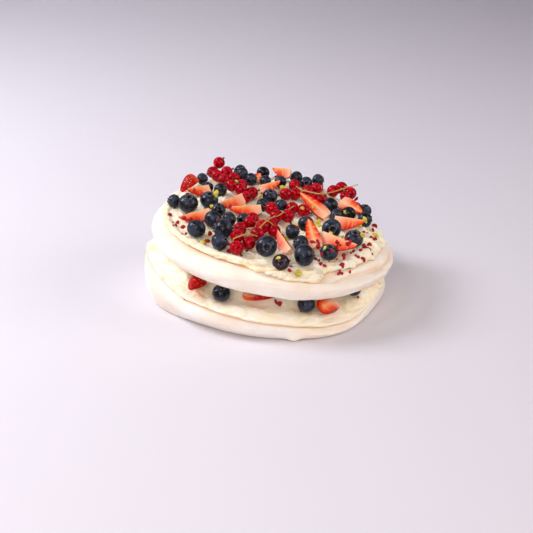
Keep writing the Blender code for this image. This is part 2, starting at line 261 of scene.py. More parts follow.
creamTop = [
    lambda a: (drape(a) * upperRadius(a), onUpperRound(a, drape(a)) + 0.2),
    lambda a: (drape(a) * upperRadius(a) + 2.6, onUpperRound(a, drape(a)) + 2.5),
    lambda a: ((drape(a) - 0.008) * upperRadius(a), onUpperRound(a, drape(a)) + 5.0),
    lambda a: (np.minimum(drape(a) - 0.04, 0.845) * upperRadius(a), topHeight(a, 82.0) - 0.8),
    lambda a: (0.785 * upperRadius(a), topHeight(a, 76.0)),
    lambda a: (0.62 * upperRadius(a), topHeight(a, 60.0)),
    lambda a: (0.42 * upperRadius(a), topHeight(a, 40.0)),
    lambda a: (0.22 * upperRadius(a), topHeight(a, 20.0)),
]


def lowerRing(section, a, rise=0.0):
    radius, height = section(a)
    turn = np.radians(a)
    return np.stack([radius * np.cos(turn), radius * np.sin(turn), height + rise + 0.0 * a], -1)


def upperRing(section, a, rise=0.0):
    # the upper round sits to one side and leans
    ring = lowerRing(section, a, rise)
    ring[:, 2] += lean(ring[:, 0], ring[:, 1])
    return ring + np.array([cake["upperCentreX"], 0.0, 0.0])


def shelfRings(a):
    # the filling's lip over the lower round, and its open shelf under the upper round
    opening = np.exp(-(((a + 88.0 + 180.0) % 360.0 - 180.0) / 50.0) ** 8)
    depth = (12.5 + 1.5 * swell(a, -125.0, 18.0)) * opening
    low = lowerRing(cup[0], a)
    far, high = [upperRing(section, a, -cake["gap"]) for section in underside[1:]]
    outward = low * np.array([1.0, 1.0, 0.0])
    outward /= np.linalg.norm(outward, axis=-1, keepdims=True)
    up = np.array([0.0, 0.0, 1.0])
    drop = -up * depth[:, None]
    lip = low + outward * (2.2 - 3.4 * swell(a, 178.0, 42.0))[:, None] + up * 2.4
    shelf = high + drop
    slope = lip * 0.45 + shelf * 0.55 + up * 1.4
    back = far * 0.5 + high * 0.5 + 0.9 * drop
    return [lip, slope, shelf, back]


def curveRows(rings, counts):
    # a smooth curve through every ring, point by point; counts gives the rows in each span
    rings = np.array(rings)
    rings = np.concatenate([[2 * rings[0] - rings[1]], rings, [2 * rings[-1] - rings[-2]]])
    rows, spans = [], []
    for i, count in enumerate(counts):
        p0, p1, p2, p3 = rings[i:i + 4]
        pairs = ((p0, p1), (p1, p2), (p2, p3))
        steps = [np.sqrt(np.linalg.norm(b - a, axis=-1, keepdims=True)) + 1e-4 for a, b in pairs]
        t1, t2, t3 = steps[0], steps[0] + steps[1], steps[0] + steps[1] + steps[2]
        isLast = i == len(counts) - 1
        for part in range(count + isLast):
            t = t1 + (t2 - t1) * part / count
            a1 = (t1 - t) / t1 * p0 + t / t1 * p1
            a2 = (t2 - t) / (t2 - t1) * p1 + (t - t1) / (t2 - t1) * p2
            a3 = (t3 - t) / (t3 - t2) * p2 + (t - t2) / (t3 - t2) * p3
            b1 = (t2 - t) / t2 * a1 + t / t2 * a2
            b2 = (t3 - t) / (t3 - t1) * a2 + (t - t1) / (t3 - t1) * a3
            rows.append((t2 - t) / (t2 - t1) * b1 + (t - t1) / (t2 - t1) * b2)
            spans.append(i + part / count)
    return np.array(rows), np.array(spans)[:, None]


def pushedOut(points, push):
    along = np.roll(points, -1, axis=1) - np.roll(points, 1, axis=1)
    normal = np.cross(along, np.gradient(points, axis=0))
    return points + normal / (np.linalg.norm(normal, axis=-1, keepdims=True) + 1e-9) * push[..., None]


def addLayer(name, points, hollow, look, node):
    # a closed skin from rows of points that run from the bottom's middle out, up and in again
    shift = np.array([cake["shiftX"], cake["shiftY"], 0.0])
    skin = np.concatenate([points.reshape(-1, 3), [points[0].mean(0)], [points[-1].mean(0)]]) + shift
    mesh = bpy.data.meshes.new(name)
    mesh.from_pydata((skin * mm).tolist(), [], wrapFaces(*points.shape[:2]))
    # hollow: how much painted shade each point's colour gets, from 0 to 1
    markPoints(mesh, "hollow", np.concatenate([np.clip(hollow, 0, 1).reshape(-1), [0.0, 0.0]]))
    mesh.shade_smooth()
    return addPiece(name, mesh, [look], [node])


def bakedMeringue():
    # egg white and sugar dried in a low oven: chalky, matt, ivory with a faint warm blush
    # hollow is a painted shade colour, for dents, creases and where the cream covers the meringue
    look = {"ivory": "#fffaf2", "blush": "#faecdc", "crack": "#e0c09c", "hollow": "#ecc8a4",
            "crackShows": 0.38, "grainMm": 1.1, "blushMm": 26.0, "crackMm": 34.0, "bendMm": 8.333,
            "patchMm": 45.45}
    material, shader, add = newMaterial("bakedMeringue", 0.72, 1.45, Specular_IOR_Level=0.35,
                                        Subsurface_Weight=0.18, Subsurface_Scale=0.5,
                                        Subsurface_Radius=(0.006, 0.0045, 0.0035))
    where = (add("ShaderNodeTexCoord"), "Object")
    blush = add("ShaderNodeTexNoise", {"Vector": where, "Scale": 1000 / look["blushMm"], "Detail": 3.0})
    tone = add("ShaderNodeValToRGB", {"Fac": blush}, [(0.38, look["blush"]), (0.62, look["ivory"])])
    # painted shade: the hollow attribute takes the colour towards the hollow colour in dents, creases and
    # covered parts
    hollow = (add("ShaderNodeAttribute", attribute_name="hollow"), "Fac")
    withPaintedShade = add("ShaderNodeMix", {0: hollow, 6: tone, 7: look["hollow"]}, data_type="RGBA")
    # hairline cracks, drawn out up and down, only in patches
    flat = add("ShaderNodeMapping", {"Vector": where, "Scale": (1.0, 1.0, 0.28)})
    warp = add("ShaderNodeTexNoise", {"Vector": where, "Scale": 1000 / look["bendMm"], "Detail": 2.0})
    bent = add("ShaderNodeVectorMath", {0: (warp, "Color"), 1: (0.006, 0.006, 0.006)}, operation="MULTIPLY")
    moved = add("ShaderNodeVectorMath", {0: flat, 1: bent}, operation="ADD")
    cells = add("ShaderNodeTexVoronoi", {"Vector": moved, "Scale": 1000 / look["crackMm"]},
                feature="DISTANCE_TO_EDGE")
    line = add("ShaderNodeMapRange", {"Value": cells, "From Max": 0.011, "To Min": 1.0, "To Max": 0.0})
    uneven = add("ShaderNodeTexNoise", {"Vector": where, "Scale": 1000 / look["patchMm"]})
    patch = add("ShaderNodeMapRange", {"Value": uneven, "From Min": 0.56, "From Max": 0.70})
    crack = add("ShaderNodeMath", {0: line, 1: patch}, operation="MULTIPLY")
    faint = add("ShaderNodeMath", {0: crack, 1: look["crackShows"]}, operation="MULTIPLY")
    colour = add("ShaderNodeMix", {0: faint, 6: withPaintedShade, 7: look["crack"]}, data_type="RGBA")
    grain = add("ShaderNodeTexNoise", {"Vector": where, "Scale": 1000 / look["grainMm"], "Detail": 3.0})
    rough = add("ShaderNodeMapRange", {"Value": grain, "To Min": 0.62, "To Max": 0.82})
    depth = add("ShaderNodeMath", {0: grain, 1: crack}, operation="SUBTRACT")
    bump = add("ShaderNodeBump", {"Strength": 0.35, "Distance": 0.4 * mm, "Height": depth})
    fillSockets(shader, {"Base Color": colour, "Roughness": rough, "Normal": bump})
    return material


def whippedCream():
    # mascarpone and cream spread with a palette knife: satin, pale yellow, with painted shade in its furrows
    # and pits
    look = {"crest": "#fff9ea", "body": "#fff1d0", "furrowShade": "#f4cf98", "grainMm": 2.0, "patchMm": 14.286}
    material, shader, add = newMaterial("whippedCream", 0.48, 1.45, Specular_IOR_Level=0.4,
                                        Subsurface_Weight=0.25, Subsurface_Scale=0.6,
                                        Subsurface_Radius=(0.006, 0.004, 0.0022))
    where = (add("ShaderNodeTexCoord"), "Object")
    hollow = (add("ShaderNodeAttribute", attribute_name="hollow"), "Fac")
    patch = add("ShaderNodeTexNoise", {"Vector": where, "Scale": 1000 / look["patchMm"], "Detail": 4.0})
    grain = add("ShaderNodeTexNoise", {"Vector": where, "Scale": 1000 / look["grainMm"], "Detail": 4.0,
                                       "Roughness": 0.62})
    # painted shade in the pits of the fine grain: the lower the grain, the darker the colour
    pitShade = add("ShaderNodeMapRange", {"Value": grain, "From Min": 0.46, "From Max": 0.3, "To Max": 0.12})
    uneven = add("ShaderNodeMath", {0: patch, 1: 0.5, 2: pitShade}, operation="MULTIPLY_ADD")
    # painted shade from the hollow attribute: furrows, dents and hidden undersides go towards the furrow
    # shade colour
    shade = add("ShaderNodeMath", {0: uneven, 1: hollow}, operation="ADD")
    stops = [(0.18, look["crest"]), (0.45, look["body"]), (1.0, look["furrowShade"])]
    tone = add("ShaderNodeValToRGB", {"Fac": shade}, stops)
    rough = add("ShaderNodeMapRange", {"Value": grain, "To Min": 0.38, "To Max": 0.58})
    bump = add("ShaderNodeBump", {"Strength": 0.6, "Distance": 0.8 * mm, "Height": grain})
    fillSockets(shader, {"Base Color": tone, "Roughness": rough, "Normal": bump})
    return material


def blueberrySkin():
    # waxy dark blue skin, with a dusty bloom rubbed off in patches
    look = {"skin": "#05060a", "bloom": "#404b63", "ripe": "#33101c", "crown": "#09090c", "lobe": "#5a5764",
            "patchMm": 6.0, "dustMm": 1.111}
    material, shader, add = newMaterial("blueberrySkin", 0.35, 1.45, Coat_Weight=0.2, Coat_Roughness=0.08,
                                        Specular_IOR_Level=0.18)
    where = (add("ShaderNodeTexCoord"), "Object")
    crown, ripe = [(add("ShaderNodeAttribute", attribute_name=name), "Fac") for name in ("crown", "ripe")]
    patch = add("ShaderNodeTexNoise", {"Vector": where, "Scale": 1000 / look["patchMm"], "Detail": 4.0,
                                       "Roughness": 0.65})
    worn = add("ShaderNodeMapRange", {"Value": patch, "From Min": 0.42, "From Max": 0.74})
    lobes = add("ShaderNodeMapRange", {"Value": crown, "From Min": 0.15, "From Max": 0.45})
    inside = add("ShaderNodeMapRange", {"Value": crown, "From Min": 0.55, "From Max": 0.9})
    colour = look["skin"]
    for share, name in ((worn, "bloom"), (ripe, "ripe"), (lobes, "lobe"), (inside, "crown")):
        colour = add("ShaderNodeMix", {0: share, 6: colour, 7: look[name]}, data_type="RGBA")
    rough = add("ShaderNodeMapRange", {"Value": worn, "To Min": 0.26, "To Max": 0.52})
    dust = add("ShaderNodeTexNoise", {"Vector": where, "Scale": 1000 / look["dustMm"], "Detail": 2.0})
    bump = add("ShaderNodeBump", {"Strength": 0.25, "Distance": 0.3 * mm, "Height": dust})
    fillSockets(shader, {"Base Color": colour, "Roughness": rough, "Normal": bump})
    return material


def strawberrySkin():
    # ripe skin, glossy and dimpled, a seed in each dimple, paler towards the stalk
    look = {"red": "#c2070b", "deep": "#980406", "stalkEnd": "#e8592c", "seed": "#e3ae4c", "dimpleMm": 2.2,
            "mottleMm": 4.545}
    material, shader, add = newMaterial("strawberrySkin", 0.28, 1.42, Coat_Weight=0.08, Coat_Roughness=0.08,
                                        Specular_IOR_Level=0.2, Subsurface_Weight=0.1,
                                        Subsurface_Radius=(0.004, 0.0012, 0.0008), Subsurface_Scale=0.5)
    where = (add("ShaderNodeAttribute", attribute_name="berryMm"), "Vector")
    unit = (add("ShaderNodeAttribute", attribute_name="berrySpace"), "Vector")
    cells = add("ShaderNodeTexVoronoi", {"Vector": where, "Scale": 1 / look["dimpleMm"], "Randomness": 0.55})
    seed = add("ShaderNodeMapRange", {"Value": cells, "From Min": 0.13, "From Max": 0.2, "To Min": 1.0,
                                      "To Max": 0.0})
    mottle = add("ShaderNodeTexNoise", {"Vector": where, "Scale": 1 / look["mottleMm"], "Detail": 3.0})
    along = (add("ShaderNodeSeparateXYZ", {"Vector": unit}), "X")
    stalk = add("ShaderNodeMapRange", {"Value": along, "From Min": -0.25, "From Max": -0.85})
    colour = look["red"]
    for share, name in ((mottle, "deep"), (stalk, "stalkEnd"), (seed, "seed")):
        colour = add("ShaderNodeMix", {0: share, 6: colour, 7: look[name]}, data_type="RGBA")
    dimple = add("ShaderNodeMapRange", {"Value": cells, "From Min": 0.1, "From Max": 0.5})
    bump = add("ShaderNodeBump", {"Strength": 0.8, "Distance": 0.6 * mm, "Height": dimple})
    fillSockets(shader, {"Base Color": colour, "Normal": bump})
    return material


def strawberryFlesh():
    # wet cut flesh: red under the skin, orange inside it, a pale core and pale fibres out to the seeds
    look = {"core": "#f5b98c", "inner": "#f3945c", "orange": "#ef622e", "red": "#e33512", "rim": "#c41306",
            "fibre": "#f7b285", "stalkEnd": "#f8cfae", "fibreMm": 1.7, "mottleMm": 2.857}
    material, shader, add = newMaterial("strawberryFlesh", 0.32, 1.42, Specular_IOR_Level=0.16,
                                        Subsurface_Weight=0.15, Subsurface_Scale=0.5,
                                        Subsurface_Radius=(0.005, 0.002, 0.001))
    where = (add("ShaderNodeAttribute", attribute_name="berryMm"), "Vector")
    unit = (add("ShaderNodeAttribute", attribute_name="berrySpace"), "Vector")
    axes = add("ShaderNodeSeparateXYZ", {"Vector": unit})
    # how far out a point lies between the core, 0, and the skin, 1, from the berry's own taper and round ends
    side = add("ShaderNodeCombineXYZ", {"Y": (axes, "Y"), "Z": (axes, "Z")})
    away = add("ShaderNodeVectorMath", {0: side}, operation="LENGTH")
    taper = add("ShaderNodeMath", {0: (axes, "X"), 1: -0.36, 2: 0.94}, operation="MULTIPLY_ADD")
    squared = add("ShaderNodeMath", {0: (axes, "X"), 1: 2.0}, operation="POWER")
    left = add("ShaderNodeMath", {0: 1.03, 1: squared}, operation="SUBTRACT")
    girth = add("ShaderNodeMath", {0: left, 1: 0.5}, operation="POWER")
    reach = add("ShaderNodeMath", {0: taper, 1: girth}, operation="MULTIPLY")
    outer = add("ShaderNodeMath", {0: away, 1: reach}, operation="DIVIDE")
    mottle = add("ShaderNodeTexNoise", {"Vector": where, "Scale": 1 / look["mottleMm"], "Detail": 3.0})
    moved = add("ShaderNodeMath", {0: mottle, 1: 0.34, 2: outer}, operation="MULTIPLY_ADD")
    depth = add("ShaderNodeMath", {0: moved, 1: 0.17}, operation="SUBTRACT")
    stops = [(0.0, look["core"]), (0.2, look["inner"]), (0.45, look["orange"]), (0.75, look["red"]),
             (1.0, look["rim"])]
    tone = add("ShaderNodeValToRGB", {"Fac": depth}, stops)
    stretched = add("ShaderNodeMapping", {"Vector": where, "Scale": (1.0, 0.22, 0.22)})
    fibre = add("ShaderNodeTexNoise", {"Vector": stretched, "Scale": 1 / look["fibreMm"], "Detail": 2.0})
    thin = add("ShaderNodeMapRange", {"Value": fibre, "From Min": 0.54, "From Max": 0.70})
    band = add("ShaderNodeMapRange", {"Value": depth, "From Min": 1.05, "From Max": 0.7})
    veins = add("ShaderNodeMath", {0: thin, 1: band}, operation="MULTIPLY")
    soft = add("ShaderNodeMath", {0: veins, 1: 0.6}, operation="MULTIPLY")
    stalk = add("ShaderNodeMapRange", {"Value": (axes, "X"), "From Min": -0.05, "From Max": -0.75,
                                       "To Max": 0.85})
    fibrous = add("ShaderNodeMix", {0: soft, 6: tone, 7: look["fibre"]}, data_type="RGBA")
    colour = add("ShaderNodeMix", {0: stalk, 6: fibrous, 7: look["stalkEnd"]}, data_type="RGBA")
    bump = add("ShaderNodeBump", {"Strength": 0.5, "Distance": 0.4 * mm, "Height": fibre})
    fillSockets(shader, {"Base Color": colour, "Normal": bump})
    return material


def currantSkin():
    # tight, clear, glassy skin over red juice; the seeds and veins show faintly, by the berry's own radius
    look = {"juice": "#bd0019", "rim": "#74000c", "vein": "#dc1c3c", "patchesPerRadius": 2.2}
    material, shader, add = newMaterial("currantSkin", 0.1, 1.4, Coat_Weight=0.08, Coat_Roughness=0.03,
                                        Specular_IOR_Level=0.15, Subsurface_Weight=0.18,
                                        Subsurface_Radius=(0.006, 0.0008, 0.0012), Subsurface_Scale=0.7)
    unit = (add("ShaderNodeAttribute", attribute_name="berrySpace"), "Vector")
    seeds = add("ShaderNodeTexNoise", {"Vector": unit, "Scale": look["patchesPerRadius"], "Detail": 1.0})
    stops = [(0.35, look["rim"]), (0.6, look["juice"]), (0.85, look["vein"])]
    fillSockets(shader, {"Base Color": add("ShaderNodeValToRGB", {"Fac": seeds}, stops)})
    return material


def plainFood(name, colours, grainMm, roughness, bumpMm):
    # small dry or fibrous bits: two or three tones in grains and a rough broken surface
    material, shader, add = newMaterial(name, roughness, 1.45, Subsurface_Weight=0.08,
                                        Subsurface_Radius=(0.002, 0.001, 0.0008), Subsurface_Scale=0.5)
    where = (add("ShaderNodeTexCoord"), "Object")
    grain = add("ShaderNodeTexNoise", {"Vector": where, "Scale": 1000 / grainMm, "Detail": 3.0})
    stops = [(0.3 + 0.4 * i / (len(colours) - 1), colour) for i, colour in enumerate(colours)]
    bump = add("ShaderNodeBump", {"Strength": 0.6, "Distance": bumpMm * mm, "Height": grain})
    fillSockets(shader, {"Base Color": add("ShaderNodeValToRGB", {"Fac": grain}, stops), "Normal": bump})
    return material


meringueLook = bakedMeringue()
creamLook = whippedCream()
blueberryLook = blueberrySkin()
strawberryLooks = [strawberrySkin(), strawberryFlesh()]
currantLook = currantSkin()
stemLook = plainFood("greenGoldStem", ["#a8803a", "#d9b25e"], 1.6, 0.5, 0.1)
tipLook = plainFood("driedBlossom", ["#3a2016", "#6b4226"], 0.8, 0.8, 0.2)
crumbLook = plainFood("freezeDriedStrawberry", ["#7a0612", "#a90c20", "#c62c3e"], 1.6, 0.8, 0.4)
pistachioLook = plainFood("choppedPistachio", ["#a3a22e", "#d2c23a", "#ebdd6c"], 2.6, 0.6, 0.3)
print("materials made")


# Fruit places are those of the solid model, in mm from the lower round's centre.
crownLooks = {"up": (0.15, -0.35, 1.0), "front": (0.05, -1.0, 0.25), "left": (-1.0, -0.3, 0.2),
              "right": (1.0, -0.2, 0.3), "back": (0.2, 1.0, 0.1)}
blueberries = {
    "across": [11.6, 16.6, 10.5, 15.4, 11.6, 12.2, 14.6, 12.4, 14.8, 16.6, 13.8, 12.0, 12.4, 11.6, 11.8, 11.0,
               11.8, 13.4, 12.2, 11.8, 11.8, 13.6, 12.8, 12.0, 13.2, 16.2, 15.6, 14.2, 13.2, 12.4, 13.4, 17.4,
               16.8, 13.0],
    "crowns": "left up right up back up back right back left right left left right back left right up left "
              "front right right back up right front up up back right left right front front".split(),
    "purple": 34,
}
gapBlueberries = {"across": [14.6, 14.0], "crowns": ["up", "up"]}
# x, y, height over the topping, across, crown; the last lies in the gap at the right
tuckedBlueberries = [
    (-49, 29, 4.4, 10.5, "up"), (-18, -26, 4.9, 11.6, "left"), (-3, 7, 5.0, 11.8, "right"),
    (12, 12, 4.6, 11.0, "up"), (57, 5, 4.9, 11.6, "front"), (75, 31, 4.2, 10.0, "up"),
    (67, -59, -23.7, 13.0, "up"),
]
# x, y, length, across, cut, heading, roll, nose up
strawberries = [
    (-65, 28, 17.0, 17.0, "quarter", 215, 150, -28), (-56, 19, 19.0, 18.0, "quarter", 210, 0, 0),
    (-29, 4, 22.0, 20.0, "quarter", 212, -10, -12), (-18, -7, 27.0, 18.0, "quarter", 190, 0, 0),
    (-56, -30, 25.0, 18.0, "quarter", 200, 0, -9), (3, 42, 19.0, 17.0, "quarter", 20, 0, 8),
    (-8, 64, 10.0, 9.0, "half", 60, 30, 20), (13, 70, 16.0, 19.0, "quarter", 170, 0, 0),
    (38, 12, 31.0, 13.0, "half", 140, -15, 26), (71, 24, 25.0, 14.0, "half", 312, 25, -8),
    (67, -12, 25.0, 21.0, "quarter", 335, 10, 0), (56, -54, 32.0, 25.0, "quarter", 320, 8, -5),
    (35, -46, 26.0, 12.0, "half", 105, -8, 36), (13, -60, 23.0, 15.0, "quarter", 115, 0, 18),
]
gapStrawberries = [
    (-54, -70, 18.5, 14.0, "half", 250, 180, 0), (-5, -78, 23.0, 12.0, "slice", 5, 0, 0),
    (47, -77, 22.0, 17.0, "chunk", 235, 0, 0),
]
tuckedStrawberries = [(45, 60, 14.0, 13.0, "quarter", 60, 0, 10), (16, 43, 11.0, 10.0, "half", 20, 150, 0)]
# each currant's x, y and height over the cream, and the stems that show: lists of x, y, height
sprigs = {
    "currants_back_left": {
        "berries": [(-17, 17, 6), (-12, 27, 6), (-21, 26, 8), (-29, 34, 7), (-21, 40, 6), (-36, 47, 6),
                    (-28, 52, 6), (-42, 55, 6), (-34, 61, 8), (-46, 63, 6), (-41, 72, 12)],
        "stems": [[(-44, 68, 6), (-36, 54, 5), (-26, 42, 5), (-17, 24, 4)]],
    },
    "currants_front": {
        "berries": [(-22, -76, 6), (-13, -67, 6), (-22, -64, 9), (-7, -53, 7), (-20, -45, 6),
                    (-13, -36, 8), (-3, -43, 9), (6, -44, 7), (4, -33, 8), (-11, -26, 7), (8, -15, 7),
                    (17, -12, 7), (4, -6, 9), (21, 5, 7), (30, 3, 7)],
        "stems": [[(-24, -74, 12), (-18, -70, 13), (-12, -66, 12.5), (-7, -62, 9)],
                  [(-5, -53, 12.5), (1, -41, 14), (6, -33, 14), (10, -22, 11), (22, 2, 10)]],
    },
    "currants_back_right": {
        "berries": [(39, 33, 6), (35, 45, 6), (46, 31, 6), (42, 50, 7), (57, 55, 6), (64, 53, 11),
                    (67, 42, 8), (71, 44, 11), (24, 54, 6), (24, 36, 6), (16, 30, 7)],
        "stems": [[(30, 38, 9), (44, 27, 12.5), (54, 32, 13), (64, 42, 14), (74, 50, 16), (78, 54, 16.5)]],
    },
}


def nodeMiddle(name):
    low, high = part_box(name)
    return (low + high) / 2 / mm


def onCake(x, y, z=0.0):
    return Vector((x + cake["shiftX"], y + cake["shiftY"], z))


def onCream(x, y, up):
    return onCake(x, y, creamHeight(x, y) + up)


# each fruit's middle and radius, for the collar of cream that it pushes up round itself
fruitSpots = [(nodeMiddle("blueberry_%02d" % (i + 1)), 0.5 * across)
              for i, across in enumerate(blueberries["across"])]
fruitSpots += [(nodeMiddle("strawberry_%02d" % (i + 1)), 0.4 * row[3] + 0.1 * row[2])
               for i, row in enumerate(strawberries)]


def anglesRound(columns):
    return np.arange(columns) * 360.0 / columns


def rimPoints(turn, radius, across):
    # a place in noise space that only changes round the cake, and with across
    return np.stack([np.cos(turn) * radius, np.sin(turn) * radius, across], -1)


def makeLowerRound():
    size = {"columns": 620, "rows": [6, 10, 8, 12, 12, 6, 6, 4], "wave": 0.8, "lump": 0.3, "grain": 0.1,
            "toe": 2.4}
    a = anglesRound(size["columns"])
    rings = [lowerRing(section, a) for section in lowerWall + cup]
    points, span = curveRows(rings, size["rows"])
    points[..., 2] = np.maximum(points[..., 2], 0.0)
    seen = smoothStep(1.4, 2.4, span) * (1 - smoothStep(4.6, 5.2, span))
    push = size["wave"] * ripples(points, 34.0, 3)
    push += size["lump"] * ripples(points * np.array([1.0, 1.0, 3.5]), 11.0, 4, 3)
    push += size["grain"] * ripples(points, 2.6, 5)
    toe = size["toe"] * swell(a, -77.5, 2.6) * bell(span, 1.9, 0.7)
    points = pushedOut(points, (push - 0.3) * seen + toe)
    points[..., 2] = np.maximum(points[..., 2], 0.0)
    # painted shade: darker from just under the shoulder inwards, where the filling overhangs and covers the
    # round, and in the skin's dents
    hollow = smoothStep(4.3, 4.9, span) * 0.5 + 0.25 * np.clip(-push, 0, 1)
    return addLayer("lowerRound", points, hollow, meringueLook, "meringue_lower")


def makeFilling():
    size = {"columns": 640, "rows": [2, 3, 5, 5, 15, 15, 5, 3, 2], "streak": 1.0, "comb": 0.35,
            "combMm": 5.2, "lump": 1.1, "grain": 0.2, "radius": 96.0}
    a = anglesRound(size["columns"])
    rings = [lowerRing(section, a, cake["gap"]) for section in reversed(cup)] + shelfRings(a)
    rings += [upperRing(section, a, -cake["gap"]) for section in reversed(underside[:2])]
    points, span = curveRows(rings, size["rows"])
    seen = smoothStep(3.2, 4.0, span) * (1 - smoothStep(6.6, 7.4, span))
    turn = np.radians(a) + 0 * points[..., 0]
    reach = np.hypot(points[..., 0], points[..., 1])
    # knife strokes run round the shelf, and a coarser comb shows at the right
    across = points[..., 2] * 0.75 + 0.3 * reach + 3.0 * ripples(points, 24.0, 6)
    stroke = ripples(rimPoints(turn, 4.5, across), 2.4, 7)
    waver = 5.0 * ripples(points, 12.0, 8)
    comb = np.sin(2 * pi * (turn * size["radius"] + waver) / size["combMm"]) * swell(a, -26.0, 12.0)
    lumps = ripples(points, 7.5, 9, 3) * (0.6 + swell(a, 222.0, 16.0)) * (1 - 0.8 * swell(a, 180.0, 26.0))
    fine = ripples(points, 2.4, 10, 2)
    wavy = ripples(rimPoints(turn, size["radius"], 0 * turn), 11.0, 11) * (1 - 0.8 * swell(a, 175.0, 32.0))
    push = size["streak"] * (2.0 * np.abs(stroke) - 0.4) + size["comb"] * comb
    push = push + size["lump"] * lumps + size["grain"] * fine + bell(span, 4.0, 0.35) * (0.5 + 1.5 * wavy)
    points = pushedOut(points, push * seen)
    # painted shade: on the hidden underside in the lower round, along the knife strokes' furrows, in dents
    # between lumps and in the comb's grooves
    under = 1 - smoothStep(3.45, 4.0, span)
    hollow = (0.32 * bell(stroke, 0.0, 0.05) * seen + 0.3 * np.clip(-lumps, 0, 1)
              + 0.25 * np.clip(-comb, 0, 1) + 0.5 * under)
    return addLayer("creamFilling", points, hollow, creamLook, "cream_lower")


def makeUpperRound():
    size = {"columns": 620, "rows": [3, 6, 8, 9, 9, 9, 9, 6, 3, 2], "wave": 0.9, "lump": 0.45, "grain": 0.1,
            "crease": 1.9, "band": 0.9, "pinch": 1.4}
    a = anglesRound(size["columns"])
    rings = [upperRing(section, a) for section in underside + upperSide + upperTop]
    points, span = curveRows(rings, size["rows"])
    seen = smoothStep(1.6, 2.6, span) * (1 - smoothStep(7.3, 8.0, span))
    push = size["wave"] * ripples(points, 36.0, 13)
    push += size["lump"] * ripples(points * np.array([1.0, 1.0, 3.2]), 16.0, 14, 3)
    push += size["grain"] * ripples(points, 2.6, 15)
    # the fold at the front right: a crease over a fuller band, and one pinch across them
    along = smoothStep(-70.0, -60.0, signedAngle(a)) * (1 - smoothStep(-14.0, 6.0, signedAngle(a)))
    middle = 6.1 + 0.25 * np.sin(np.radians(5.0 * a))
    crease = along * bell(span, middle, 0.22)
    band = along * bell(span, middle - 0.75, 0.45)
    pinch = swell(a + 5.0 * (span - 4.5), -19.0, 2.6) * bell(span, 5.0, 1.3)
    shaped = size["band"] * band - size["crease"] * crease - size["pinch"] * pinch
    points = pushedOut(points, (push - 0.2) * seen + shaped)
    # painted shade in the fold's crease and pinch, on the top where the topping covers it, and in the skin's
    # dents
    hollow = 0.45 * crease + 0.2 * pinch + 0.3 * smoothStep(7.1, 7.7, span) + 0.2 * np.clip(-push, 0, 1)
    return addLayer("upperRound", points, hollow, meringueLook, "meringue_upper")


def makeTopping():
    size = {"columns": 600, "rows": [3, 5, 4, 5, 8, 7, 18, 19, 18], "swirl": 2.1, "lump": 0.9, "grain": 0.28,
            "collar": 0.9, "roll": 2.2, "blunt": 2.0, "pit": 0.9, "radius": 90.0}
    a = anglesRound(size["columns"])
    rings = [upperRing(section, a, cake["gap"]) for section in reversed(upperTop[2:])]
    rings += [upperRing(section, a) for section in creamTop]
    points, span = curveRows(rings, size["rows"])
    seen = smoothStep(2.0, 2.5, span)
    reach = np.hypot(points[..., 0] - cake["upperCentreX"], points[..., 1])
    turn = np.radians(a) + 0 * reach
    # knife strokes run round the rim, each a long crisp ridge; further in they give way to dabs
    across = (reach - 1.1 * points[..., 2] + 5.0 * ripples(points, 30.0, 17)) * 0.8
    grooves = ripples(rimPoints(turn, 4.2, across), 2.6, 18)
    dabs = ripples(points * np.array([0.6, 1.0, 1.0]), 7.5, 19, 2)
    mixed = 0.4 + 1.6 * ripples(points, 32.0, 22) + 0.5 * swell(a, -22.0, 30.0)
    mixed = np.clip(mixed - 0.9 * swell(a, -105.0, 38.0) * smoothStep(70.0, 82.0, reach), 0, 1)
    ridge = 2.2 * np.abs(grooves) * (1 - mixed) + 2.2 * np.abs(dabs) * mixed
    # the thin lines along the bottoms of the grooves and dabs, where painted shade goes
    furrowShade = bell(grooves, 0.0, 0.06) * (1 - mixed) + 0.6 * bell(dabs, 0.0, 0.05) * mixed
    lumps = ripples(points, 12.0, 19, 3)
    fine = ripples(points, 2.4, 20, 2)
    wavy = ripples(rimPoints(turn, size["radius"], 0 * turn), 11.0, 21)
    collar = np.zeros(points.shape[:2])
    for middle, radius in fruitSpots:
        centre = middle - onCake(0, 0)
        away = np.hypot(points[..., 0] - centre.x, points[..., 1] - centre.y)
        collar = np.maximum(collar, bell(away, 0.85 * radius, 0.3 * radius))
    # scraped thin and pitted at the left; at the right a rolled lip that ends bluntly at the front
    thin = swell(a, 205.0, 38.0) * smoothStep(60.0, 74.0, reach)
    pits = thin * np.clip(1.5 * np.abs(ripples(points, 2.4, 23)) - 0.15, 0, 1)
    beads = 0.7 + 0.6 * np.sin(26.0 * np.radians(a) + 0.1 * reach)
    push = size["roll"] * swell(a, -27.0, 17.0) * bell(span, 4.3, 0.9) * beads
    push = push + size["blunt"] * swell(a, -68.5, 4.5) * bell(span, 4.0, 0.8)
    push = push + (1 - 0.75 * thin) * (size["swirl"] * (ridge - 0.4) + size["lump"] * lumps)
    push = push + size["grain"] * fine + size["collar"] * collar
    push = push + bell(span, 3.4, 0.6) * (0.6 + 1.1 * wavy) - size["pit"] * pits
    points = pushedOut(points, push * seen)
    # painted shade: in the strokes' furrows, between lumps, in the scraped pits and on the hidden underside
    under = 1 - smoothStep(2.2, 3.0, span)
    hollow = 0.7 * furrowShade * seen + 0.35 * np.clip(-lumps, 0, 1) + 0.5 * under + 0.5 * pits
    return addLayer("creamTopping", points, hollow, creamLook, "cream_upper")


makeLowerRound()
filling, upperRound, topping = makeFilling(), makeUpperRound(), makeTopping()
print("meringue and cream made")


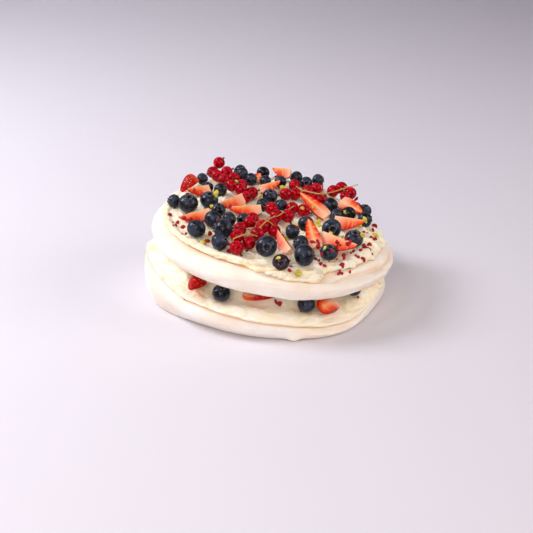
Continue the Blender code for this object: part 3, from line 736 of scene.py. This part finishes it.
def makeBlueberry(name, across, crownLook, middle, number, node=None, ripe=0.0):
    # a flattened ball with a ragged five-lobed crown round a hollow, facing the way its look says
    shape = {"columns": 40, "flat": 0.86, "crownAt": 0.33, "lobe": 0.1, "hollow": 0.15, "fit": 0.985}
    tilts = np.concatenate([np.linspace(0.02, 0.56, 13), np.linspace(0.66, pi - 0.02, 17)])
    turns = np.arange(shape["columns"]) * 2 * pi / shape["columns"]
    tilt, turn = np.meshgrid(tilts, turns, indexing="ij")
    radius = 0.5 * across * shape["fit"]
    lobes = 0.5 + 0.5 * np.cos(5 * turn + number) + 0.2 * np.cos(3 * turn + 2.1 * number)
    ring = bell(tilt, shape["crownAt"] + 0.05 * lobes, 0.07)
    pit = np.clip(1 - (tilt / shape["crownAt"]) ** 2, 0, 1) ** 0.8
    out = radius * np.sin(tilt) * (0.97 + 0.02 * np.sin(2 * turn + number))
    raised = shape["lobe"] * ring * (0.15 + 1.1 * lobes) - shape["hollow"] * pit
    up = radius * (shape["flat"] * np.cos(tilt) + raised)
    points = np.stack([out * np.cos(turn), out * np.sin(turn), up], -1).reshape(-1, 3)
    poles = [[0, 0, radius * (shape["flat"] - shape["hollow"] + 0.05)], [0, 0, -radius * shape["flat"]]]
    spin = np.array(Vector(crownLooks[crownLook]).to_track_quat("Z", "Y").to_matrix())
    points = np.concatenate([points, poles]) @ spin.T + np.array(middle)
    mesh = bpy.data.meshes.new(name)
    mesh.from_pydata((points * mm).tolist(), [], wrapFaces(*tilt.shape, clockwise=True))
    crown = np.where(tilt < shape["crownAt"] - 0.05, 1.0, ring * (0.2 + 0.5 * lobes))
    markPoints(mesh, "crown", np.concatenate([np.clip(crown, 0, 1).reshape(-1), [1.0, 0.0]]))
    markPoints(mesh, "ripe", np.full(len(points), ripe))
    mesh.shade_smooth()
    return addPiece(name, mesh, [blueberryLook], [node] if node else [])


berryPieces = []
for i, (across, crown) in enumerate(zip(blueberries["across"], blueberries["crowns"])):
    node = "blueberry_%02d" % (i + 1)
    ripe = 0.75 if i + 1 == blueberries["purple"] else 0.0
    name = "blueberry%02d" % (i + 1)
    berryPieces.append(makeBlueberry(name, across, crown, nodeMiddle(node), i, node, ripe))
for i, (across, crown) in enumerate(zip(gapBlueberries["across"], gapBlueberries["crowns"])):
    node = "gap_blueberry_%d" % (i + 1)
    makeBlueberry("gapBlueberry%d" % (i + 1), across, crown, nodeMiddle(node), 50 + i, node)
for i, (x, y, up, across, crown) in enumerate(tuckedBlueberries):
    berryPieces.append(makeBlueberry("tuckedBlueberry%d" % (i + 1), across, crown, onCream(x, y, up), 70 + i))
print("blueberries made")


def cutAway(bm, point, normal):
    # cuts off what lies past a plane and closes the cut
    everything = bm.verts[:] + bm.edges[:] + bm.faces[:]
    cut = bmesh.ops.bisect_plane(bm, geom=everything, plane_co=point, plane_no=normal, clear_outer=True)
    rim = [edge for edge in cut["geom_cut"] if isinstance(edge, bmesh.types.BMEdge)]
    return bmesh.ops.holes_fill(bm, edges=rim, sides=0)["faces"]


def finishMesh(bm, name):
    bmesh.ops.scale(bm, verts=bm.verts, vec=(mm, mm, mm))
    mesh = bpy.data.meshes.new(name)
    bm.to_mesh(mesh)
    bm.free()
    return mesh


def makeStrawberry(name, row, lowest, node=None):
    # along +X to the tip with the cut side up, then turned and set down with its lowest point at lowest
    x, y, long, across, cut, heading, roll, nose = row
    shape = {"halfLength": 0.58, "fit": 0.985, "round": 0.35}
    at = onCake(x, y)
    bm = bmesh.new()
    bmesh.ops.create_uvsphere(bm, u_segments=40, v_segments=28, radius=1.0)
    for vert in bm.verts:
        along, side, rise = vert.co.z, vert.co.y, vert.co.x   # the ball's poles lie on the berry's axis
        uneven = noise.noise(Vector((along * 2, side * 2, rise * 2 + long)))
        plump = 0.5 * across * (0.94 - 0.36 * along) * (1 + 0.03 * uneven)
        vert.co = Vector((shape["halfLength"] * long * along, plump * side, plump * rise)) * shape["fit"]
    hull = ((-0.44 * long, 0, 0), (-1, 0, 0))   # the flat where the green hull was cut off
    planes = {
        "half": [hull, ((0, 0, 0), (0, 0, 1))],
        "quarter": [hull, ((0, 0, 0), (0, 1, 1)), ((0, 0, 0), (0, -1, 1))],
        "slice": [((0, 0, 0.12 * across), (0, 0, 1)), ((0, 0, -0.16 * across), (0, 0, -1))],
        "chunk": [hull, ((0, 0, 0), (0, 0.3, 1)), ((0.12 * long, 0, 0), (1, 0, 0.1))],
    }
    for point, normal in planes[cut]:
        for face in cutAway(bm, point, normal):
            face.material_index = 1
    bmesh.ops.recalc_face_normals(bm, faces=bm.faces)
    edges = [edge for edge in bm.edges if len(edge.link_faces) == 2 and edge.calc_face_angle(0) > 0.5
             and any(face.material_index for face in edge.link_faces)]
    bmesh.ops.bevel(bm, geom=edges, offset=shape["round"], segments=2, affect="EDGES", profile=0.5,
                    material=-1, clamp_overlap=True)
    bmesh.ops.triangulate(bm, faces=[face for face in bm.faces if len(face.verts) > 4])
    unit = bm.verts.layers.float_vector.new("berrySpace")
    place = bm.verts.layers.float_vector.new("berryMm")
    halves = (shape["halfLength"] * long, 0.5 * across, 0.5 * across)
    for vert in bm.verts:
        vert[unit] = [c / half for c, half in zip(vert.co, halves)]
        vert[place] = vert.co + Vector((3.1 * long, 1.7 * across, at.x))
    for face in bm.faces:
        face.smooth = face.material_index == 0
    low, high = [Vector([end(vert.co[i] for vert in bm.verts) for i in range(3)]) for end in (min, max)]
    turn = Matrix.Rotation(radians(heading), 3, "Z") @ Matrix.Rotation(radians(-nose), 3, "Y")
    bmesh.ops.translate(bm, verts=bm.verts, vec=-(low + high) / 2)
    bmesh.ops.rotate(bm, verts=bm.verts, matrix=turn @ Matrix.Rotation(radians(roll), 3, "X"))
    drop = lowest - min(vert.co.z for vert in bm.verts)
    bmesh.ops.translate(bm, verts=bm.verts, vec=Vector((at.x, at.y, drop)))
    return addPiece(name, finishMesh(bm, name), strawberryLooks, [node] if node else [])


for i, row in enumerate(strawberries):
    node = "strawberry_%02d" % (i + 1)
    berryPieces.append(makeStrawberry("strawberry%02d" % (i + 1), row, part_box(node)[0].z / mm, node))
for i, row in enumerate(gapStrawberries):
    node = "gap_strawberry_%d" % (i + 1)
    makeStrawberry("gapStrawberry%d" % (i + 1), row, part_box(node)[0].z / mm, node)
for i, row in enumerate(tuckedStrawberries):
    berryPieces.append(makeStrawberry("tuckedStrawberry%d" % (i + 1), row, creamHeight(*row[:2]) + 0.2))
print("strawberries made")


def newTree(name, inputs, output):
    # a node tree with named inputs, each a socket's kind and its first value
    tree = bpy.data.node_groups.new(name, "GeometryNodeTree")
    for key, (kind, value) in inputs.items():
        socket = tree.interface.new_socket(key, in_out="INPUT", socket_type="NodeSocket" + kind)
        if value is not None:
            socket.default_value = value
    tree.interface.new_socket(output, in_out="OUTPUT", socket_type="NodeSocketGeometry")
    return tree, partial(addNode, tree)


def bakedTree(name, mesh, tree, inputs):
    # what a node tree makes on a mesh, as a plain mesh; the host that carried the tree goes
    host = bpy.data.objects.new(name, mesh)
    bpy.context.scene.collection.objects.link(host)
    modifier = host.modifiers.new("make", "NODES")
    modifier.node_group = tree
    for item in tree.interface.items_tree:
        if item.in_out == "INPUT" and item.name in inputs:
            modifier[item.identifier] = inputs[item.name]
    bpy.context.view_layer.update()
    made = bpy.data.meshes.new_from_object(host.evaluated_get(bpy.context.evaluated_depsgraph_get()))
    bpy.data.objects.remove(host)
    return made


def makeStemTree():
    # lines of points become round stems, thinner where their girth says so
    tree, add = newTree("berryStem", {"Line": ("Geometry", None), "Thickness": ("Float", 0.0009),
                                      "Sides": ("Int", 8), "Look": ("Material", None)}, "Stem")
    given = add("NodeGroupInput")
    curve = add("GeometryNodeMeshToCurve", {"Mesh": (given, "Line")})
    girth = (add("GeometryNodeInputNamedAttribute", {"Name": "girth"}, data_type="FLOAT"), "Attribute")
    sized = add("GeometryNodeSetCurveRadius", {"Curve": curve, "Radius": girth})
    half = add("ShaderNodeMath", {0: (given, "Thickness"), 1: 0.5}, operation="MULTIPLY")
    outline = add("GeometryNodeCurvePrimitiveCircle", {"Resolution": (given, "Sides"), "Radius": half})
    tube = add("GeometryNodeCurveToMesh", {"Curve": sized, "Profile Curve": outline, "Fill Caps": True})
    if "Scale" in tube.inputs:
        fillSockets(tube, {"Scale": girth})
    real = add("GeometryNodeRealizeInstances", {"Geometry": tube})
    done = add("GeometryNodeSetMaterial", {"Geometry": real, "Material": (given, "Look")})
    add("NodeGroupOutput", {"Stem": done})
    return tree


def currantShape():
    # one berry on its axis, stalk end up (+Z), the dried blossom at its foot; unit radius
    shape = {"columns": 22, "rows": 15,
             "blossom": [(0.15, -1.10), (0.11, -1.22), (0.19, -1.36), (0.03, -1.27)]}
    tilts = [0.09 + (pi - 0.19) * i / (shape["rows"] - 1) for i in range(shape["rows"])]
    rings = [(sin(tilt), cos(tilt), 0) for tilt in tilts] + [(r, z, 1) for r, z in shape["blossom"]]
    turns = np.arange(shape["columns"]) * 2 * pi / shape["columns"]
    points = []
    for r, z, dry in rings:
        frill = 0.05 if dry and r > 0.15 else 0.0
        points += [(r * cos(t), r * sin(t), z + frill * sin(4 * t)) for t in turns]
    columns, count = shape["columns"], len(points)
    quads = wrapFaces(len(rings), columns, clockwise=True)[:count - columns]
    ends = [list(range(columns)), list(range(count - 1, count - 1 - columns, -1))]
    slots = [dry for r, z, dry in rings[1:] for _ in range(columns)]
    return np.array(points), quads + ends, slots + [0, 1]


def makeSprig(name, plan, number):
    # each currant near enough to a stem hangs by its own stalk from the nearest point of it
    berry = {"across": 10.6, "stalk": 0.75, "stem": 1.15, "reachMm": 26.0, "stemParts": 8, "stalkParts": 5}
    shape, faces, slots = currantShape()
    radius = 0.5 * berry["across"]
    spots = [onCream(*place) for place in plan["berries"]]
    drop = Vector((0, 0, min(spot.z for spot in spots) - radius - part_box(name)[0].z / mm))
    spots = [spot - drop for spot in spots]
    rng = np.random.default_rng(40 + number)
    lines, edges, girths = [], [], []
    for stem in plan["stems"]:
        path = [onCream(*place) - drop for place in stem]
        first = len(lines)
        for i, (p1, p2) in enumerate(zip(path, path[1:])):
            p0, p3 = path[max(i - 1, 0)], path[min(i + 2, len(path) - 1)]
            for part in range(berry["stemParts"]):
                t = part / berry["stemParts"]
                bent = (2 * p0 - 5 * p1 + 4 * p2 - p3) * t * t + (3 * p1 - p0 - 3 * p2 + p3) * t ** 3
                lines.append(0.5 * (2 * p1 + (p2 - p0) * t + bent))
        lines.append(path[-1])
        edges += [(i, i + 1) for i in range(first, len(lines) - 1)]
        girths += [1.0 - 0.35 * (i - first) / (len(lines) - first) for i in range(first, len(lines))]
    stemPoints = list(lines)
    allPoints, allFaces, allUnit = [], [], []
    for spot in spots:
        joint = min(stemPoints, key=lambda p: (p - spot).length + 0.5 * abs(p.z - spot.z))
        away = joint - spot
        toStem = away.normalized() if away.length > 1 else Vector((0, 0, 1))
        axis = (toStem + Vector(rng.normal(0, 0.22, 3))).normalized()
        turn = np.array(axis.to_track_quat("Z", "Y").to_matrix())
        size = radius * (1 + rng.uniform(-0.06, 0.02))
        allFaces += [[i + len(allPoints) for i in face] for face in faces]
        allPoints += (shape * size @ turn.T + np.array(spot)).tolist()
        allUnit += (shape + np.array([spot.x, spot.y, 0.0]) * 0.37).tolist()
        if away.length < berry["reachMm"]:
            first, last = len(lines), len(lines) + berry["stalkParts"]
            for part in range(berry["stalkParts"] + 1):
                t = part / berry["stalkParts"]
                lines.append((spot + axis * size * 0.97).lerp(joint, t) + axis * 2.2 * t * (1 - t))
            edges += [(i, i + 1) for i in range(first, last)]
            girths += [berry["stalk"]] * (berry["stalkParts"] + 1)
    mesh = bpy.data.meshes.new(name)
    mesh.from_pydata([[c * mm for c in point] for point in allPoints], [], allFaces)
    markPoints(mesh, "berrySpace", allUnit, "FLOAT_VECTOR")
    mesh.shade_smooth()
    mesh.polygons.foreach_set("material_index", slots * len(spots))
    line = bpy.data.meshes.new(name + "Line")
    line.from_pydata([point * mm for point in lines], edges, [])
    markPoints(line, "girth", girths)
    inputs = {"Thickness": berry["stem"] * mm, "Sides": 8, "Look": stemLook}
    stems = bakedTree(name + "Stems", line, stemTree, inputs)
    bm = bmesh.new()
    bm.from_mesh(mesh)
    count = len(bm.faces)
    bm.from_mesh(stems)
    bm.faces.ensure_lookup_table()
    for face in bm.faces[count:]:
        face.material_index = 2
        face.smooth = True
    bm.to_mesh(mesh)
    bm.free()
    pieceName = name.replace("_", "").replace("currants", "redCurrants")
    return addPiece(pieceName, mesh, [currantLook, tipLook, stemLook], [name])


stemTree = makeStemTree()
berryPieces += [makeSprig(name, plan, i) for i, (name, plan) in enumerate(sprigs.items())]
print("red currants made")


def roughBit(name, squash, seed, chops):
    # a small broken piece about 1 unit across, a few dozen faces
    bm = bmesh.new()
    bmesh.ops.create_icosphere(bm, subdivisions=2, radius=0.5)
    rng = np.random.default_rng(seed)
    for vert in bm.verts:
        swollen = vert.co * (1 + 0.35 * noise.noise(vert.co * 3 + Vector((seed, 0, 0))))
        vert.co = Vector([c * s for c, s in zip(swollen, squash)])
    for _ in range(chops):
        normal = Vector(rng.normal(0, 1, 3)).normalized()
        cutAway(bm, normal * 0.36 * squash[1], normal)
    bmesh.ops.recalc_face_normals(bm, faces=bm.faces)
    return bpy.data.objects.new(name, finishMesh(bm, name))


def bitShapes(name, squashes, chops):
    group = bpy.data.collections.new(name)
    for i, squash in enumerate(squashes):
        group.objects.link(roughBit("%s%d" % (name, i), squash, 7 * i + len(name), chops))
    return group


def scatterTree(name, spread):
    # bits on a surface where its sprinkle attribute says so, or one on each of its points
    inputs = {"Ground": ("Geometry", None), "Bits": ("Collection", None), "Per Square Metre": ("Float", 1.0),
              "Smallest": ("Float", 0.8), "Largest": ("Float", 2.0), "Seed": ("Int", 1),
              "Look": ("Material", None)}
    tree, add = newTree(name, inputs, "Scattered")
    given = add("NodeGroupInput")
    seed = (given, "Seed")
    field = "sprinkle" if spread else "size"
    own = add("GeometryNodeInputNamedAttribute", {"Name": field}, data_type="FLOAT")
    size = add("FunctionNodeRandomValue", {2: (given, "Smallest"), 3: (given, "Largest"), "Seed": seed},
               data_type="FLOAT")
    if spread:
        dense = add("ShaderNodeMath", {0: own, 1: (given, "Per Square Metre")}, operation="MULTIPLY")
        points = add("GeometryNodeDistributePointsOnFaces", {"Mesh": (given, "Ground"), "Density": dense,
                                                             "Seed": seed})
    else:
        points = add("GeometryNodeMeshToPoints", {"Mesh": (given, "Ground")})
        size = add("ShaderNodeMath", {0: own, 1: size}, operation="MULTIPLY")
    bits = add("GeometryNodeCollectionInfo", {"Collection": (given, "Bits"), "Separate Children": True,
                                              "Reset Children": True})
    pick = add("FunctionNodeRandomValue", {"Min": 0, "Max": 50, "Seed": seed}, data_type="INT")
    spin = add("FunctionNodeRandomValue", {"Max": (6.283, 6.283, 6.283), "Seed": seed},
               data_type="FLOAT_VECTOR")
    laid = add("GeometryNodeInstanceOnPoints", {"Points": points, "Instance": bits, "Pick Instance": True,
                                                "Instance Index": pick, "Rotation": spin, "Scale": size})
    real = add("GeometryNodeRealizeInstances", {"Geometry": laid})
    done = add("GeometryNodeSetMaterial", {"Geometry": real, "Material": (given, "Look")})
    add("NodeGroupOutput", {"Scattered": done})
    return tree


def skyline(pieces):
    # the pieces' faces as one tree, to drop bits on
    points, faces = [], []
    for piece in pieces:
        first = len(points)
        points += [vert.co.copy() for vert in piece.data.vertices]
        faces += [[i + first for i in face.vertices] for face in piece.data.polygons]
    return BVHTree.FromPolygons(points, faces)


cakeTop = skyline([topping, upperRound] + berryPieces)


def landing(x, y):
    spot, normal = cakeTop.ray_cast(Vector((x * mm, y * mm, 0.12)), Vector((0, 0, -1)))[:2]
    return (spot / mm, normal) if spot else (None, None)


def makeCrumbs():
    # freeze-dried strawberry: drifts of x, y, radius and weight, and single bits all over
    crumbs = {"perSquareMetre": 4000.0, "smallest": 1.5, "largest": 5.4, "seed": 11, "gridMm": 1.6,
              "everywhere": 0.12, "atRim": 0.03, "rimMm": 86.0,
              "squashes": [(1.0, 0.85, 0.6), (1.2, 0.7, 0.5), (0.85, 0.8, 0.7)], "chops": 2,
              "drifts": [(60, -65, 2.5, 24), (55, -68, 2.5, 24), (49.5, -71, 2, 20), (44, -72, 2, 16),
                         (38, -71, 2, 18), (66, -56, 4, 8), (86, -17, 4, 15), (80, -28, 4, 12),
                         (81, -9, 3, 12), (90, 18, 3, 14), (42, -43, 3, 13), (40, -55, 3, 9),
                         (61, -55, 5, 8), (52, -58, 4, 8), (-70, -30, 4, 10), (-62, -34, 3, 11),
                         (-54, -33, 3, 7), (-43.5, -62, 2, 16), (-43, -50, 2, 14), (-27, -70, 2.5, 7),
                         (17, -88, 3, 9), (14, -84, 2.5, 6), (78, -40, 6, 2.5), (80, 50, 5, 5),
                         (57, -78, 2, 3), (-76, -20, 8, 1.2), (-66, -44, 8, 1.2), (-60, 22, 4, 7),
                         (-57, 36, 3, 8), (12, -54, 3, 8), (34, -55, 4, 7), (5, 37, 4, 4),
                         (34, 68, 4, 4), (-72, 20, 3, 4), (22, -42, 3, 5)]}
    across = np.arange(-98.0, 102.0, crumbs["gridMm"])
    points, sprinkle, index = [], [], {}
    for i, x in enumerate(across):
        for j, y in enumerate(across):
            spot, normal = landing(x, y)
            if spot is None or spot.z < 40:   # past the upper round
                continue
            index[i, j] = len(points)
            points.append(spot * mm)
            inside = hypot(x - cake["upperCentreX"], y) < crumbs["rimMm"]
            here = crumbs["everywhere"] if inside else crumbs["atRim"]
            for driftX, driftY, radius, weight in crumbs["drifts"]:
                away = onCake(driftX, driftY) - Vector((x, y, 0))
                here += weight * np.exp(-away.length_squared / radius ** 2)
            sprinkle.append(here if normal.z > 0.55 else 0.0)
    faces = [(index[i, j], index[i + 1, j], index[i + 1, j + 1], index[i, j + 1]) for i, j in index
             if (i + 1, j) in index and (i + 1, j + 1) in index and (i, j + 1) in index]
    ground = bpy.data.meshes.new("crumbGround")
    ground.from_pydata(points, [], faces)
    markPoints(ground, "sprinkle", sprinkle)
    inputs = {"Bits": bitShapes("crumb", crumbs["squashes"], crumbs["chops"]), "Seed": crumbs["seed"],
              "Per Square Metre": crumbs["perSquareMetre"], "Smallest": crumbs["smallest"],
              "Largest": crumbs["largest"], "Look": crumbLook}
    made = bakedTree("crumbHost", ground, scatterTree("crumbScatter", True), inputs)
    return addPiece("strawberryCrumbs", made, [crumbLook])


def layBits(name, bits, spots, look):
    # one piece of bits, each laid at a given spot, with a size
    ground = bpy.data.meshes.new(name + "Spots")
    ground.from_pydata([spot for spot, size in spots], [], [])
    markPoints(ground, "size", [size for spot, size in spots])
    inputs = {"Bits": bitShapes(name + "Bit", bits["squashes"], bits["chops"]), "Smallest": bits["smallest"],
              "Largest": bits["largest"], "Seed": bits["seed"], "Look": look}
    made = bakedTree(name + "Host", ground, scatterTree(name + "Scatter", False), inputs)
    return addPiece(name, made, [look])


def droppedOn(rows, lift):
    # where each x, y, size lands on the topping or the fruit, lifted by a share of its size
    spots = []
    for x, y, size in rows:
        spot, normal = landing(*onCake(x, y)[:2])
        if spot is not None:
            spots.append(((spot + normal * size * lift) * mm, size))
    return spots


def makeNuts():
    # chopped pistachio dropped at listed places where it catches the eye: x, y, size
    nuts = {"smallest": 1.4, "largest": 1.95, "seed": 5, "chops": 3, "lift": 0.16,
            "squashes": [(1.1, 0.7, 0.55), (1.0, 0.8, 0.5), (1.2, 0.6, 0.6), (0.9, 0.8, 0.7)],
            "places": [(-54, -19, 3.4), (-41, -2, 3.8), (-44, 8, 3.4), (-44, -10, 2.6), (-43, -15, 2.4),
                       (-47, -65, 3.6), (-16, -17, 2.2), (-17, -6, 2.0), (-25, 34, 2.4), (-5, 33, 2.4),
                       (3, 47, 2.2), (3, 5, 2.4), (14, 32, 3.6), (13, 50, 2.0), (47, 43, 2.2),
                       (38, 7, 2.2), (42, -4, 3.8), (43, -12, 3.2), (38, -10, 3.0), (34, -6, 2.2),
                       (29, -1, 2.2), (35, -14, 2.4), (80, 11, 3.0), (76, -3, 3.6), (77, 44, 1.8),
                       (41, -31, 3.4), (42, -36, 3.0), (49, -46, 2.6), (60, -25, 2.6), (23, -90, 3.8),
                       (44, -69, 2.6), (15, -45, 3.2), (23, -38, 2.4), (13, -39, 2.4), (28, -34, 2.4),
                       (78, -17, 3.2), (88, -9, 3.6), (74, -40, 3.0), (21, -54, 2.2), (58, -52, 1.8),
                       (9, -90, 2.4), (-30, 20, 2.2), (-60, 8, 2.2), (30, 22, 2.4), (56, 40, 2.0),
                       (-10, -60, 1.8), (64, 4, 2.2), (-26, -22, 2.0), (20, 60, 2.2), (-40, 40, 2.0),
                       (2, 62, 2.0)]}
    spots = droppedOn(nuts["places"], nuts["lift"])
    return layBits("choppedPistachios", nuts, spots, pistachioLook)


def makeFlakes():
    # the larger flakes of freeze-dried strawberry: x, y, size
    flakes = {"smallest": 1.05, "largest": 1.35, "seed": 9, "chops": 2, "lift": 0.1,
              "squashes": [(1.0, 0.85, 0.5), (1.2, 0.7, 0.45), (0.85, 0.8, 0.6)],
              "places": [(-59, 15, 3.2), (-55, 37, 3.0), (-62, 23, 2.6), (-45, -61, 4.2),
                         (-43, -50, 4.4), (-69, -32, 3.4), (-64, -35, 4.0), (-59, -35, 3.4),
                         (-72, -41, 2.0), (-37, -52, 2.6), (18, -83, 3.2), (17, -89, 3.6),
                         (39, -70, 3.2), (43.5, -73, 2.8), (49, -71, 3.2), (54, -72.5, 3.0),
                         (57, -68, 3.2), (63, -67, 2.8), (74, -54, 3.6), (68, -55, 2.6), (77, -40, 3.0),
                         (77, -33, 3.4), (81, -28, 4.2), (86, -19, 4.0), (84, -14, 3.6), (78, -9, 3.2),
                         (90, 18, 4.6), (88, 13, 3.6), (42, -43, 4.0), (39, -54, 3.4), (60, -58, 4.0),
                         (54, -57, 3.8), (12, -54, 2.6), (34, 68, 3.0), (5, 37, 2.8)]}
    spots = droppedOn(flakes["places"], flakes["lift"])
    return layBits("strawberryFlakes", flakes, spots, crumbLook)


def makeGapCrumbs():
    # the few bits that lie on the filling, and a dark slice end under the upper round: x, y, z, size
    bits = {"smallest": 1.0, "largest": 1.3, "seed": 3, "chops": 2, "lift": 0.2,
            "squashes": [(1.0, 0.85, 0.6), (1.2, 0.7, 0.5)],
            "places": [(-84, -38, 38, 3.6), (-87, -23, 42, 2.2), (26, -80, 18, 2.2), (25, -77, 19, 1.6),
                       (71, -55, 18, 2.4), (10, -77, 23, 4.6), (7, -76, 24, 3.6), (-62, -72, 26, 1.4)]}
    ground = skyline([filling])
    spots = []
    for x, y, z, size in bits["places"]:
        spot, normal = ground.find_nearest(onCake(x, y, z) * mm)[:2]
        spots.append((spot + normal * size * bits["lift"] * mm, size))
    return layBits("gapCrumbs", bits, spots, crumbLook)


scattered = [makeCrumbs(), makeNuts(), makeFlakes(), makeGapCrumbs()]
print("crumbs, nuts and flakes laid:", [len(piece.data.polygons) for piece in scattered], "faces")


def stageObject(name, data):
    thing = bpy.data.objects.new(name, data)
    bpy.context.scene.collection.objects.link(thing)
    return thing


def makeStage():
    # a pale floor that turns up into a round wall, with light painted on: lighter on the window's side,
    # painted shade away from it; lengths in metres
    studio = {"floor": "#efedf5", "shade": "#c9c6ce", "flat": 1.9, "bend": 0.7, "wall": 3.4, "columns": 96,
              "below": 0.0002}
    material, shader, add = newMaterial("paperSweep", 0.9, 1.45)
    side = add("ShaderNodeSeparateXYZ", {"Vector": (add("ShaderNodeTexCoord"), "Object")})
    # painted light: the colour runs from the floor colour at the window's side to the painted shade colour
    paintedLightFade = add("ShaderNodeMapRange", {"Value": (side, "X"), "From Min": -0.5, "From Max": 0.6})
    stops = [(0.0, studio["floor"]), (1.0, studio["shade"])]
    fillSockets(shader, {"Base Color": add("ShaderNodeValToRGB", {"Fac": paintedLightFade}, stops)})
    flat, bend = studio["flat"], studio["bend"]
    profile = [(0.3, 0.0), (1.0, 0.0), (flat, 0.0)]
    profile += [(flat + bend * sin(t), bend * (1 - cos(t))) for t in np.linspace(0.1, pi / 2, 12)]
    profile.append((flat + bend, studio["wall"]))
    turns = np.arange(studio["columns"]) * 2 * pi / studio["columns"]
    points = [(r * cos(t), r * sin(t), z - studio["below"]) for r, z in profile for t in turns]
    faces = wrapFaces(len(profile), studio["columns"], clockwise=True)
    faces = faces[:-studio["columns"]]   # open at the top
    mesh = bpy.data.meshes.new("sweep")
    mesh.from_pydata(points + [(0.0, 0.0, -studio["below"])], [], faces)
    mesh.shade_smooth()
    mesh.materials.append(material)
    stageObject("sweep", mesh)


def addLamp(name, at, size, watts, colour):
    lamp = bpy.data.lights.new(name, "AREA")
    lamp.shape = "DISK"
    lamp.size = size
    lamp.energy = watts
    lamp.color = hexColour(colour)[:3]
    holder = stageObject(name, lamp)
    holder.location = at
    holder.rotation_euler = (Vector((0, 0, 0.04)) - Vector(at)).to_track_quat("-Z", "Y").to_euler()


makeStage()
addLamp("window", (-1.25, 0.12, 1.12), 0.65, 18.5, "#faf9ff")
addLamp("glint", (-0.75, -0.55, 1.35), 0.1, 1.6, "#ffffff")   # small and bare, for wet highlights
addLamp("frontFill", (-0.35, -1.7, 1.0), 1.2, 12.8, "#ffeed8")
addLamp("sideFill", (1.6, -0.35, 0.9), 1.2, 12.8, "#fff3e6")
world = bpy.data.worlds.new("softRoom")
bpy.context.scene.world = world
world.use_nodes = True
fillSockets(world.node_tree.nodes["Background"], {"Color": "#eef0f6", "Strength": 0.42})
bpy.context.scene.view_settings.view_transform = "Standard"

camera = bpy.data.cameras.new("camera")
camera.lens = 70.0
camera.sensor_width = 36.0
tripod = stageObject("camera", camera)
tripod.location = (-0.0013, -0.7890, 0.3523)
tripod.rotation_euler = (radians(67.25), 0.0, 0.0)
bpy.context.scene.camera = tripod

print("done")
